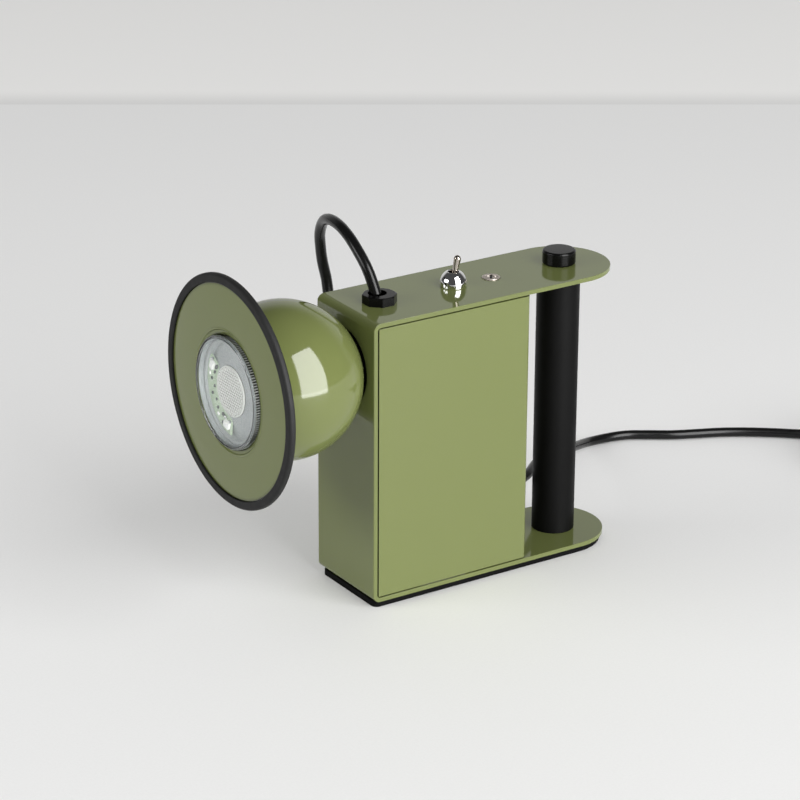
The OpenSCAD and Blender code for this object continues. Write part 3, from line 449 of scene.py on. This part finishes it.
# Painted highlight and shade: pale stripes round the beam are painted glints of the ribs, and the dark
# between them is painted shade.
rib_glint_paint = Finish("painted_rib_glints")
across_rim = rib_glint_paint.node("SeparateXYZ", {}, {0: rib_glint_paint.place}, "Y")
up_rim = rib_glint_paint.node("SeparateXYZ", {}, {0: rib_glint_paint.place}, "Z") - BALL.z * MM
turn_rim = rib_glint_paint.node("Math", {"operation": "ARCTAN2"}, {0: up_rim, 1: across_rim})
painted_rib_glint = rib_glint_paint.node("Math", {"operation": "SINE"}, {0: turn_rim * float(RIBS)})
painted_rib_glint = rib_glint_paint.node("MapRange", {}, {0: painted_rib_glint, 1: 0.1, 2: 1.0})
FINISHES["painted_rib_glints"] = rib_glint_paint.set({
    "Base Color": rib_glint_paint.mix(painted_rib_glint, tint(0.012, 0.012, 0.01), tint(0.30, 0.31, 0.29)),
    "Roughness": 0.2 + 0.1 * rib_glint_paint.noise(3),
})
frosted = Finish("lens_face")
# Painted shade: ambient occlusion darkens the lens's colour in the narrow gaps between its domes.
painted_gap_shade = frosted.node("AmbientOcclusion", {"samples": 8}, {"Distance": 0.7 * MM}, "AO")
painted_gap_shade = frosted.node("MapRange", {}, {0: painted_gap_shade, 1: 0.55, 2: 0.95})
milk = frosted.mix(frosted.noise(1.2), tint(0.56, 0.58, 0.545), tint(0.73, 0.73, 0.69))
FINISHES["lens_face"] = frosted.set({
    "Base Color": frosted.mix(painted_gap_shade, tint(0.16, 0.16, 0.14), milk),
    "Roughness": 0.08 + 0.1 * frosted.noise(1),
    "Specular IOR Level": 0.8,
})

# %% [markdown]
# Two ways of making pieces serve nearly the whole lamp. A turned part is a short line of points that
# the spin operator sweeps round an axis. A sheet or moulded part starts from a copy of its solid, whose
# triangles are merged into flat faces. Both then get their sharp edges bevelled, because a real edge
# always has a small radius, and that radius is what catches the light.

# %% Mesh helpers
def turned(profile, steps=96, closed=True):
    """A shape swept round Z from points (radius, height) in millimetres."""
    bm = bmesh.new()
    line = [bm.verts.new((r * MM, 0, z * MM)) for r, z in profile]
    pairs = list(zip(line, line[1:])) + ([(line[-1], line[0])] if closed else [])
    edges = [bm.edges.new(pair) for pair in pairs if pair[0].co.x > 0 or pair[1].co.x > 0]
    bmesh.ops.spin(bm, geom=line + edges, cent=(0, 0, 0), axis=(0, 0, 1), angle=math.tau, steps=steps,
                   use_merge=True)
    bmesh.ops.remove_doubles(bm, verts=bm.verts, dist=1e-6)
    bmesh.ops.recalc_face_normals(bm, faces=bm.faces)
    return bm


def solid_copy(node):
    """A copy of a solid's mesh, merged into one skin of flat faces."""
    bm = bmesh.new()
    bm.from_mesh(frame["nodes"][node].data)
    bmesh.ops.remove_doubles(bm, verts=bm.verts, dist=2e-6)
    bmesh.ops.dissolve_limit(bm, angle_limit=math.radians(0.5), verts=bm.verts, edges=bm.edges)
    return bm


def soften(bm, width, segments=3, least=30, where=None):
    """Rounds the edges that turn by more than a least angle."""
    sharp = [e for e in bm.edges if len(e.link_faces) == 2 and e.calc_face_angle() > math.radians(least)]
    if where:
        sharp = [e for e in sharp if where((e.verts[0].co + e.verts[1].co) / 2 / MM)]
    bmesh.ops.bevel(bm, geom=sharp, offset=width * MM, offset_type="OFFSET", affect="EDGES",
                    segments=segments, profile=0.5, material=-1, clamp_overlap=True)
    return bm


def placed(bm, at, along=(0, 0, 1)):
    """Moves a shape from the Z axis to a place and a direction."""
    turn = Vector((0, 0, 1)).rotation_difference(Vector(along)).to_matrix().to_4x4()
    bmesh.ops.transform(bm, matrix=Matrix.Translation(Vector(at) * MM) @ turn, verts=bm.verts)
    return bm


def make_piece(name, bm, body, slot, *nodes):
    """A smooth-shaded piece on a body, in the finish of a slot, in place of some solids."""
    mesh = bpy.data.meshes.new(name)
    bm.to_mesh(mesh)
    bm.free()
    mesh.shade_smooth()
    mesh.materials.append(FINISHES[slot])
    piece = bpy.data.objects.new(name, mesh)
    bpy.context.scene.collection.objects.link(piece)
    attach(piece, body)
    if nodes:
        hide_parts(*nodes)
    even = piece.modifiers.new("even_normals", "WEIGHTED_NORMAL")
    even.keep_sharp = True
    print("piece", name, "with", len(mesh.polygons), "faces")
    return piece


# %% [markdown]
# The frame is one strip of sheet, folded at the end wall and cut half round at the handle. Its solid
# has the right folds and holes already, so a copy of it only needs the small radius that deburring and
# paint leave on its edges. The cover and the sole are treated the same way.

# %% Folded strip, cover and sole
make_piece("strip_skin", soften(solid_copy("frame_strip"), 0.2), "body", "olive_lacquer", "frame_strip")
make_piece("cover_skin", soften(solid_copy("cover"), 0.2), "body", "olive_lacquer", "cover")
make_piece("sole_pad", soften(solid_copy("base_sole"), 0.3), "body", "sole_rubber", "base_sole")
make_piece("screw_heads", soften(solid_copy("cover_screws"), 0.1, 2), "body", "steel", "cover_screws")

# %% [markdown]
# The head of the upper cover screw stands a little proud and is slightly domed, with a cross for the
# driver. It is turned with many rings, and the points that lie in the cross are pushed down. Light hardly
# gets into so narrow a recess, so two dark bars fill its bottom.

# %% Screw head
SCREW_AT = (8.1, 0, 133.5)
CROSS_DEPTH, CROSS_HALF_W, CROSS_HALF_L = 0.95, 0.6, 2.9
CROSS_TURN = Matrix.Rotation(math.radians(-33), 4, "Z")
crown = [(r / 5, 0.5 + 0.15 * (1 - (r / 19) ** 2)) for r in range(20)]
crown = turned(crown + [(4.05, 0.35), (4.05, 0), (3, -1.05), (0, -1.05)], 96, closed=False)
for v in crown.verts:
    across, along = sorted(abs(c) for c in (CROSS_TURN.inverted() @ v.co).xy)
    if v.co.z > 0 and across < CROSS_HALF_W * MM and along < CROSS_HALF_L * MM:
        v.co.z = -CROSS_DEPTH * MM
make_piece("screw_dome", placed(crown, SCREW_AT), "body", "steel")
BAR_H = 1.0
cross = bmesh.new()
for length, width, bar_top in ((5.6, 1.1, 0.3), (1.1, 5.6, 0.28)):
    bar = CROSS_TURN @ Matrix.Diagonal((length * MM, width * MM, BAR_H * MM, 1))
    bar_at = Matrix.Translation((0, 0, (bar_top - BAR_H / 2) * MM))
    bmesh.ops.create_cube(cross, size=1, matrix=bar_at @ bar)
make_piece("screw_cross", placed(cross, SCREW_AT), "body", "black_plastic")

# %% [markdown]
# The handle is a steel tube between the two plates, with a thick round cap on the top plate. Both are
# turned. The cap's edge has a radius of one millimetre, which shows as a soft line of light.

# %% Handle tube and cap
TUBE_X, Z_FLOOR, Z_UNDER, Z_TOP = 45, 5, 131.5, 133.5
tube = turned([(7.75, Z_FLOOR), (9.75, Z_FLOOR), (9.75, Z_UNDER), (7.75, Z_UNDER)], 112)
make_piece("grip_tube", placed(soften(tube, 0.25), (TUBE_X, 0, 0)), "body", "tube_black", "handle_tube")
cap = turned([(0, 120.5), (3, 120.5), (3, Z_TOP), (7.5, Z_TOP), (7.5, 140), (0, 140)], 112, closed=False)
cap = soften(cap, 0.95, 5, where=lambda p: p.z > Z_TOP - 1 and p.xy.length > 5)
make_piece("grip_cap", placed(cap, (TUBE_X, 0, 0)), "body", "black_plastic", "handle_cap")

# %% [markdown]
# The gland is an eight-sided black moulding that the loop cord leaves through. Its flats catch the
# light one by one, so it keeps the flats of its solid and gets a wider, softer edge. The points of its
# mouth are drawn in round the cord, which leans to one side there.

# %% Gland
GLAND_X, GLAND_TOP, MOUTH_DRAW = -50.5, 137.5, 4.2 / 5.5
LEAN = Vector((-0.5, 1.0, 0)) * MM
collar = solid_copy("gland_body")
axis = Vector((GLAND_X, 0, 0)) * MM
for v in collar.verts:
    out = (v.co - axis).xy.length / MM
    if v.co.z > (GLAND_TOP - 0.3) * MM and out < 5.8:
        v.co.xy = (axis + LEAN).xy + (v.co - axis).xy * MOUTH_DRAW
make_piece("gland_collar", soften(collar, 0.5, 4, 25), "body", "black_plastic", "gland_body")

# %% [markdown]
# The toggle switch shows a domed chrome nut and a bat-shaped lever. Both are turned, and their rounded
# parts are pieces of ovals: the nut's shoulder, the ball that the lever pivots on, and its tip. It leans
# towards the handle at rest, and it rides on its own body, because it throws over to the other side.

# %% Switch nut and lever
SWITCH_X, PIVOT_Z, LEVER_LEAN = -12, Z_TOP + 2, math.radians(11)


def oval(wide, tall, start, stop, step, out=0.0, up=0.0):
    """Points of a part of an oval, by angles in degrees, moved out and up."""
    turns = [math.radians(t) for t in range(start, stop, step)]
    return [(out + wide * math.cos(t), up + tall * math.sin(t)) for t in turns]


dome = [(3.05, 0), (5.95, 0), (6.1, 0.2), *oval(5.2, 6.34, 0, 67, 3, 0.9, 1.0)]
dome += [(2.55, 6.65), (2.5, 4.5), (3.05, 4.5)]
make_piece("dome_nut", placed(soften(turned(dome, 96), 0.12, 2), (SWITCH_X, 0, Z_TOP)), "body", "chrome",
           "switch_dome_nut")
lever = [(0, -4.5), (0.9, -4.5), *oval(2.2, 2.2, -65, 61, 9)]
lever += [(1.15, 2.2), (1.2, 3.5), (1.45, 8.0), (1.58, 10.0), *oval(1.6, 1.6, 0, 91, 10, up=10.4)]
bat = placed(turned(lever, 48, closed=False), (SWITCH_X, 0, PIVOT_Z),
             (math.sin(LEVER_LEAN), 0, math.cos(LEVER_LEAN)))
make_piece("bat_lever", bat, "lever", "lever_nickel", "switch_lever")

# %% [markdown]
# The head is a spun steel ball with an open mouth, a flat screen with a short collar in that mouth, and
# a rubber trim over the screen's edge. All are turned about the beam's axis, which points to -X, and
# all ride on the head. A fine bead runs round the screen's hole. Heights below are measured from the
# ball's centre.

# %% Ball, screen and trim
BEAM = (-1, 0, 0)
BALL_R, BALL_IN, MOUTH, FACE = 35, 33.5, 21.523, 26.423


def arc(radius, start, stop, count):
    """Points of an arc about the ball's centre, by angles from the beam in degrees."""
    angles = [math.radians(start + (stop - start) * i / count) for i in range(count + 1)]
    return [(radius * math.sin(t) if t < math.pi - 1e-6 else 0.0, radius * math.cos(t)) for t in angles]


outside = arc(BALL_R, math.degrees(math.acos(MOUTH / BALL_R)), 180, 64)
inside = arc(BALL_IN, 180, math.degrees(math.acos(MOUTH / BALL_IN)), 32)
ball = turned(outside + inside, 144)
make_piece("ball_skin", placed(ball, BALL, BEAM), "head", "olive_lacquer", "ball_shell")
BACK, BEAD = FACE - 1.5, FACE + 0.2
screen = turned([(26.2, MOUTH), (27.6, MOUTH), (27.6, BACK), (50, BACK), (50, FACE), (28.1, FACE),
                 (27.8, BEAD), (27.4, BEAD), (27.1, FACE), (26.9, FACE - 0.3), (25.25, FACE - 0.45),
                 (25.25, BACK), (26.2, BACK)], 144)
screen = soften(screen, 0.12, 2, 10, where=lambda p: p.xy.length < 27.95)
make_piece("screen_disc", placed(screen, BALL, BEAM), "head", "olive_lacquer", "head_disc")
MID = FACE - 0.75
trim = turned([(47.5, MID - 1.62), (51.5, MID - 1.62), (51.5, MID + 1.62), (47.5, MID + 1.62),
               (47.5, MID + 0.8), (50.05, MID + 0.8), (50.05, MID - 0.8), (47.5, MID - 0.8)], 144)
trim = soften(trim, 1.2, 6, where=lambda p: p.xy.length > 50.5)
trim = soften(trim, 0.4, 4, where=lambda p: p.xy.length < 48 and abs(p.z - MID) > 1.4)
make_piece("screen_trim", placed(trim, BALL, BEAM), "head", "black_rubber", "edge_trim")

# %% [markdown]
# The cord goes into the ball through a small rubber grommet behind, and the mains cord leaves the cover
# through a strain relief whose rings let it bend little by little. Both are turned along their cords.

# %% Grommet and strain relief
grommet = [(2.6, 31.73), (4.8, 31.73), (4.8, 33.13), (3.7, 33.13), (3.7, 35.05), (4.8, 35.05), (4.8, 36.65),
           (4.1, 36.65), (3.1, 40.5), (2.6, 40.5)]
make_piece("ball_bushing", placed(soften(turned(grommet, 64), 0.25), BALL, ENTRY), "head", "black_rubber",
           "ball_grommet")
relief = [(2.35, -3.5), (4.8, -3.5), (4.8, -1.5), (3.8, -1.5), (3.8, 0), (5.1, 0), (5.1, 2), (4.25, 2)]
for ring in range(5):
    z = 4 + 3.1 * ring
    r = 4.4 - 0.075 * z
    relief += [(r, z), (r - 0.75, z + 0.15), (r - 0.75, z + 1.1), (r - 0.09, z + 1.25)]
relief += [(2.9, 20), (2.35, 20)]
make_piece("cord_relief", placed(soften(turned(relief, 64), 0.12, 2), (14, 15.5, 24), (1, 0, 0)), "body",
           "black_rubber", "mains_relief")

# %% [markdown]
# The plug is a flat moulding with two round pins, and it has grip ribs on its sides for the fingers.
# The coil's tie is a strap of hook-and-loop tape, which closes on itself with a short overlap.

# %% Plug and tie
plug = soften(solid_copy("plug_body"), 0.9, 4, 35)
for side in (-1, 1):
    for row in range(5):
        at = Vector((coil_end.x + side * (12.1 - 0.62 * row), PLUG_Y - 38.5 + 3.6 * row, PLUG_Z)) * MM
        size = Matrix.Diagonal((1.6 * MM, 1.5 * MM, 8.5 * MM, 1))
        rib = bmesh.ops.create_cube(plug, size=1.0, matrix=Matrix.Translation(at) @ size)["verts"]
        edges = {e for v in rib for e in v.link_edges}
        bmesh.ops.bevel(plug, geom=list(edges), offset=0.45 * MM, offset_type="OFFSET", affect="EDGES",
                        segments=3, profile=0.5, material=-1)
plug_skin = make_piece("plug_skin", plug, "body", "black_plastic", "plug_body")
strap = soften(solid_copy("cord_tie"), 0.25, 2)
TIE_TURN = math.radians(205)
out_way = Vector((math.cos(TIE_TURN), math.sin(TIE_TURN), 0))
tab_at = Vector((COIL_X, COIL_Y, 0)) + 27 * out_way + Vector((0, 0, 23.4))
tab_turn = Matrix.Rotation(TIE_TURN, 4, "Z") @ Matrix.Diagonal((11 * MM, 9 * MM, 1.1 * MM, 1))
tab = bmesh.ops.create_cube(strap, size=1.0, matrix=Matrix.Translation(tab_at * MM) @ tab_turn)["verts"]
tab_edges = {e for v in tab for e in v.link_edges}
bmesh.ops.bevel(strap, geom=list(tab_edges), offset=0.3 * MM, offset_type="OFFSET", affect="EDGES",
                segments=3, profile=0.5, material=-1)
tie_strap = make_piece("tie_strap", strap, "body", "black_rubber", "cord_tie")

# %% [markdown]
# Now the cords take the jacket's finish: the mains cord, and each length of the loop, which goes back
# into the lamp at both ends.

for piece in (mains_flex, loop_upper, loop_lower):
    piece.data.materials.append(FINISHES["cord_jacket"])
length_of(mains_path)
for piece, path in ((loop_upper, loop_path[:LOOP_CUT + 1]), (loop_lower, loop_path[LOOP_CUT:])):
    length_of(path)
print("cords declared: mains", round(length_of(mains_path), 3), "m and the loop's two lengths")

# %% [markdown]
# The bulb is the lamp's finest part. Its shell is a white cone, closed by a low grey cone behind the
# clear front. The clear rim has a groove in its face and ribs round its side for gripping, which are made by
# pulling every second outer point of the spun ring inwards. A thin dark sleeve inside it, painted shade
# striped with painted glints, and a pale liner set the ribs off. Depths are measured back from the front.

# %% Bulb shell and ribbed rim
BULB_FRONT = FACE + 1.9


def bulb_turned(profile, steps=144, closed=True):
    """A turned bulb part from points (radius, depth behind the front)."""
    return turned([(r, BULB_FRONT - t) for r, t in profile], steps, closed)


shell = bulb_turned([(22.3, 3.1), (24.6, 3.1), (23.5, 4.6), (20, 14.2), (14, 27.5), (12, 32.5), (0, 32.5),
                     (0, 31.3), (10.8, 31.3), (12.8, 27.5), (18.8, 14.2), (21.7, 3.7)])
make_piece("bulb_cone", placed(soften(shell, 0.2, 2), BALL, BEAM), "head", "bulb_shell", "bulb_body")
deck = bulb_turned([(0, 3.6), (11.8, 3.6), (20.9, 6.2), (22.2, 3.4), (22.8, 3.4), (21.6, 7), (0, 7)],
                   closed=False)
make_piece("bulb_deck", placed(deck, BALL, BEAM), "head", "bulb_shell")
RIM_R, RIB_IN_R = 25, 24.45
rim = bulb_turned([(22.95, 0.6), (23.2, 0.1), (23.55, 0.0), (23.7, 0.4), (24.0, 0.4), (24.15, 0.0),
                   (24.6, 0.0), (RIM_R, 0.4), (RIM_R, 3.0), (22.95, 3.0)], 2 * RIBS)
for v in rim.verts:
    turn_at = math.atan2(v.co.y, v.co.x) / math.tau * 2 * RIBS
    if v.co.xy.length > (RIM_R - 0.1) * MM and round(turn_at) % 2:
        v.co.xy *= RIB_IN_R / RIM_R
make_piece("bulb_rim", placed(rim, BALL, BEAM), "head", "bulb_glass")
# This sleeve is a dark sheet that stands for the shade behind the ribs, striped with painted glints.
shade_sleeve = bulb_turned([(24.06, 1.0), (24.2, 1.0), (24.2, 2.95), (24.06, 2.95)])
make_piece("painted_shade_sleeve", placed(shade_sleeve, BALL, BEAM), "head", "painted_rib_glints")
liner = bulb_turned([(23.8, 0.95), (24.04, 0.95), (24.04, 2.95), (23.8, 2.95)])
make_piece("rim_liner", placed(liner, BALL, BEAM), "head", "bulb_shell")

# %% [markdown]
# The front is one clear sheet, and under its middle sits a round lens with a smooth rim. The lens is
# packed with small six-sided domes, which spread the light. The hexagons are laid out row by row, and
# two inset steps raise every one of them into a dome at once.

# %% Bulb window and lens
window = bulb_turned([(0, 0.5), (22.9, 0.6), (22.9, 1.1), (0, 1.0)], closed=False)
make_piece("bulb_window", placed(window, BALL, BEAM), "head", "bulb_window", "bulb_lens")
lens_cup = bulb_turned([(0, 2.9), (10.6, 2.9), (10.8, 2.6), (11.1, 2.6), (11.3, 2.9), (11.4, 3.8), (0, 3.8)],
                       closed=False)
CELL, CELLS_OUT_TO = 0.84, 10.1
for i in range(-9, 10):
    for j in range(-9, 10):
        x, y = CELL * 1.5 * i, CELL * math.sqrt(3) * (j + i / 2)
        if math.hypot(x, y) < CELLS_OUT_TO:
            at = Matrix.Translation(Vector((x, y, BULB_FRONT - 2.85)) * MM)
            bmesh.ops.create_circle(lens_cup, cap_ends=True, radius=CELL * 0.98 * MM, segments=6, matrix=at)
cells = [f for f in lens_cup.faces if len(f.verts) == 6]
bmesh.ops.inset_individual(lens_cup, faces=cells, thickness=0.16 * MM, depth=0.22 * MM)
bmesh.ops.inset_individual(lens_cup, faces=cells, thickness=0.26 * MM, depth=0.12 * MM)
make_piece("bulb_lens_face", placed(lens_cup, BALL, BEAM), "head", "lens_face")
print("lens domes:", len(cells))

# %% [markdown]
# Beside the lens lies a small circuit board, a curved strip that is spun through part of a turn. Its
# parts are boxes with bevelled edges: a row of dark chips, and white and bright metal parts at the ends.
# The board's finish draws its copper tracks with a stretched noise.

# %% Bulb board
solder = Finish("board_green")
tracks = solder.noise(1.4, 1.0, (1, 1, 4)) > 0.56
FINISHES["board_green"] = solder.set({
    "Base Color": solder.mix(tracks, tint(0.38, 0.49, 0.33), tint(0.51, 0.59, 0.46)),
    "Roughness": 0.3 + 0.2 * solder.noise(2),
})
part_white = Finish("part_white")
FINISHES["part_white"] = part_white.set({
    "Base Color": part_white.mix(part_white.noise(1.5), tint(0.8, 0.81, 0.79), tint(0.9, 0.9, 0.88)),
    "Roughness": 0.2 + 0.1 * part_white.noise(1),
})
part_dark = Finish("part_dark")
FINISHES["part_dark"] = part_dark.set({
    "Base Color": part_dark.mix(part_dark.noise(1), tint(0.02, 0.025, 0.025), tint(0.05, 0.055, 0.05)),
    "Roughness": 0.35 + 0.2 * part_dark.noise(0.8),
})
BOARD_IN_R, BOARD_OUT_R, BOARD_T, BOARD_BACK = 11.7, 21.1, 3.9, 4.7
BOARD_FROM, BOARD_TO = -84, 32
board = bmesh.new()
section = ((BOARD_IN_R, BOARD_T), (BOARD_OUT_R, BOARD_T),
           (BOARD_OUT_R, BOARD_BACK), (BOARD_IN_R, BOARD_BACK))
corners = [board.verts.new((0, r * MM, (BULB_FRONT - t) * MM)) for r, t in section]
end = board.faces.new(corners)
first_turn = Matrix.Rotation(math.radians(-BOARD_FROM), 3, "Z")
bmesh.ops.rotate(board, cent=(0, 0, 0), matrix=first_turn, verts=corners)
bmesh.ops.spin(board, geom=[end, *end.edges, *corners], cent=(0, 0, 0), axis=(0, 0, 1),
               angle=math.radians(BOARD_FROM - BOARD_TO), steps=48)
bmesh.ops.recalc_face_normals(board, faces=board.faces)
make_piece("bulb_board_face", placed(board, BALL, BEAM), "head", "board_green", "bulb_board")


def parts_on_board(name, slot, boxes):
    """Bevelled boxes on the board: each has a turn up from +Y in degrees, a radius and three sizes."""
    bm = bmesh.new()
    for turn_up, r, wide, tall, high in boxes:
        a = math.radians(turn_up)
        at = Vector((r * math.sin(a), r * math.cos(a), BULB_FRONT - BOARD_T + high / 2)) * MM
        shape = Matrix.Rotation(-a, 4, "Z") @ Matrix.Diagonal((wide * MM, tall * MM, high * MM, 1))
        bmesh.ops.create_cube(bm, size=1.0, matrix=Matrix.Translation(at) @ shape)
    soften(bm, 0.15, 2)
    return make_piece(name, placed(bm, BALL, BEAM), "head", slot)


parts_on_board("board_white_parts", "part_white", [
    (24, 17.2, 3.6, 2.6, 1.5), (-76, 17, 3.8, 3.0, 1.5), (8, 18.6, 1.5, 1.0, 0.6),
    (-50, 18.4, 1.6, 1.0, 0.6),
])
parts_on_board("board_dark_parts", "part_dark", [
    (29, 14.4, 1.8, 1.2, 1.0), (16, 15, 1.4, 0.9, 0.7), (2, 17, 1.2, 0.9, 0.6), (-9, 15, 1.2, 0.8, 0.6),
    (-20, 17.6, 1.3, 0.9, 0.6), (-31, 15.4, 1.2, 0.8, 0.6), (-43, 16.6, 1.3, 0.9, 0.6),
    (-60, 15, 1.6, 1.1, 0.9), (-66, 18.4, 1.8, 1.2, 0.9),
])
parts_on_board("board_metal_parts", "chrome", [
    (31, 18.6, 1.5, 1.5, 1.1), (17, 18.4, 1.2, 1.2, 0.9), (-69, 14.4, 1.6, 1.2, 1.1),
    (-82, 14.6, 1.2, 1.2, 1.0),
])

# %% [markdown]
# The solids that stay are the small inner and fixing parts, whose shapes are right as they are. Each
# takes the finish of its slot in the record.

# %% Finishes of the kept solids
for row in frame["record"]["subparts"]:
    node = frame["nodes"][row["node"]]
    if not node.material_slots:
        node.data.materials.append(FINISHES[row["material_slot"]])
    for slot in node.material_slots:
        slot.material = FINISHES[row["material_slot"]]

# %% [markdown]
# The stage is a plain pale table top. In the photograph its tone steps slightly at a far edge, so the
# floor's own coordinates carry that step. A fine noise gives the nearer part a faint grain.

# %% Floor
FLOOR_YAW, FAR_EDGE = 0.563, 0.7177
table = Finish("table_top")
floor_x, floor_y = (table.node("SeparateXYZ", {}, {0: table.place}, axis) for axis in "XY")
away = math.sin(FLOOR_YAW) * floor_x + math.cos(FLOOR_YAW) * floor_y
far = away > FAR_EDGE
# Painted shadow: just beyond the far edge the table's tone is painted darker, fading out over about 35
# millimetres.
shadow_fade = {0: away, 1: FAR_EDGE + 0.035, 2: FAR_EDGE - 0.005}
painted_edge_shadow = far * table.node("MapRange", {"interpolation_type": "SMOOTHSTEP"}, shadow_fade)
grain = table.noise(1.1, 2.0)
near_tone = table.mix(grain, tint(0.82, 0.819, 0.814), tint(0.873, 0.872, 0.868))
pale = table.mix(far, near_tone, tint(0.93, 0.925, 0.912))
table_paint = table.set({
    "Base Color": table.mix(painted_edge_shadow, pale, tint(0.765, 0.763, 0.755)),
    "Roughness": 0.6 + 0.1 * table.noise(40),
    "Specular IOR Level": 0.2,
})
FLOOR_HALF = 6.0
sheet = bmesh.new()
bmesh.ops.create_grid(sheet, x_segments=1, y_segments=1, size=FLOOR_HALF)
floor_mesh = bpy.data.meshes.new("floor")
sheet.to_mesh(floor_mesh)
sheet.free()
floor_mesh.materials.append(table_paint)
floor = bpy.data.objects.new("floor", floor_mesh)
bpy.context.scene.collection.objects.link(floor)
print("floor of", 2 * FLOOR_HALF, "m")

# %% [markdown]
# A studio lights a glossy object twice: once for what it mirrors and once for its tone. One tall softbox
# in front of the lamp's long side is only mirrored, and makes the window-like patch on the ball. A high
# key and a low fill in front give the tones and aren't mirrored. The low fill casts no shadow, as a large
# reflector hardly does. A weaker softbox on the left lights the wall under the head.

# %% Light
def softbox(name, at, to, wide, tall, radiance):
    """A rectangle of even light of a given brightness, turned towards a point."""
    light = bpy.data.lights.new(name, "AREA")
    light.shape = "RECTANGLE"
    light.size, light.size_y = wide, tall
    light.energy = radiance * math.pi * wide * tall
    lamp = bpy.data.objects.new(name, light)
    bpy.context.scene.collection.objects.link(lamp)
    facing = (Vector(to) - Vector(at)).to_track_quat("-Z", "Y")
    lamp.matrix_world = Matrix.Translation(at) @ facing.to_matrix().to_4x4()
    print(name, "of", round(light.energy, 1), "W")
    return lamp


softbox("window_light", (0.123, -0.863, 0.61), (-0.1, 0.0, 0.434), 0.70, 1.25, 10.3).visible_diffuse = False
softbox("key_light", (0.85, -3.35, 2.15), (-0.1, 0.0, 0.1), 3.3, 3.3, 3.57).visible_glossy = False
front_fill = softbox("front_fill", (0.35, -3.0, 0.5), (0.0, 0.0, 0.1), 2.6, 0.8, 14.45)
front_fill.visible_glossy = False
front_fill.data.use_shadow = False
softbox("left_fill", (-2.9, 0.6, 1.1), (0.0, 0.0, 0.1), 2.0, 1.1, 5.9)

# %% [markdown]
# A grey room does the rest. It is brighter low down behind the lamp, where the polished plates look, and
# elsewhere it is darker to a mirror than to a dull face, as a studio with black flags is.

# %% World
room = Finish("studio", bpy.data.worlds, "Background", "Generated")
east, north, high = (room.node("SeparateXYZ", {}, {0: room.place}, axis) for axis in "XYZ")
behind = 0.51 * east + 0.77 * north
back = room.node("MapRange", {"interpolation_type": "SMOOTHSTEP"}, {0: behind, 1: 0.35, 2: 0.75})
low = room.node("MapRange", {"interpolation_type": "SMOOTHSTEP"}, {0: high, 1: 0.75, 2: 0.35})
mirrored = room.node("LightPath", {}, {}, "Is Glossy Ray")
dim = room.mix(mirrored, tint(0.325, 0.325, 0.325), tint(0.07, 0.07, 0.07))
bpy.context.scene.world = room.set({"Color": room.mix(back * low, dim, tint(0.70, 0.70, 0.69))})
bpy.context.scene.view_settings.view_transform = "Standard"
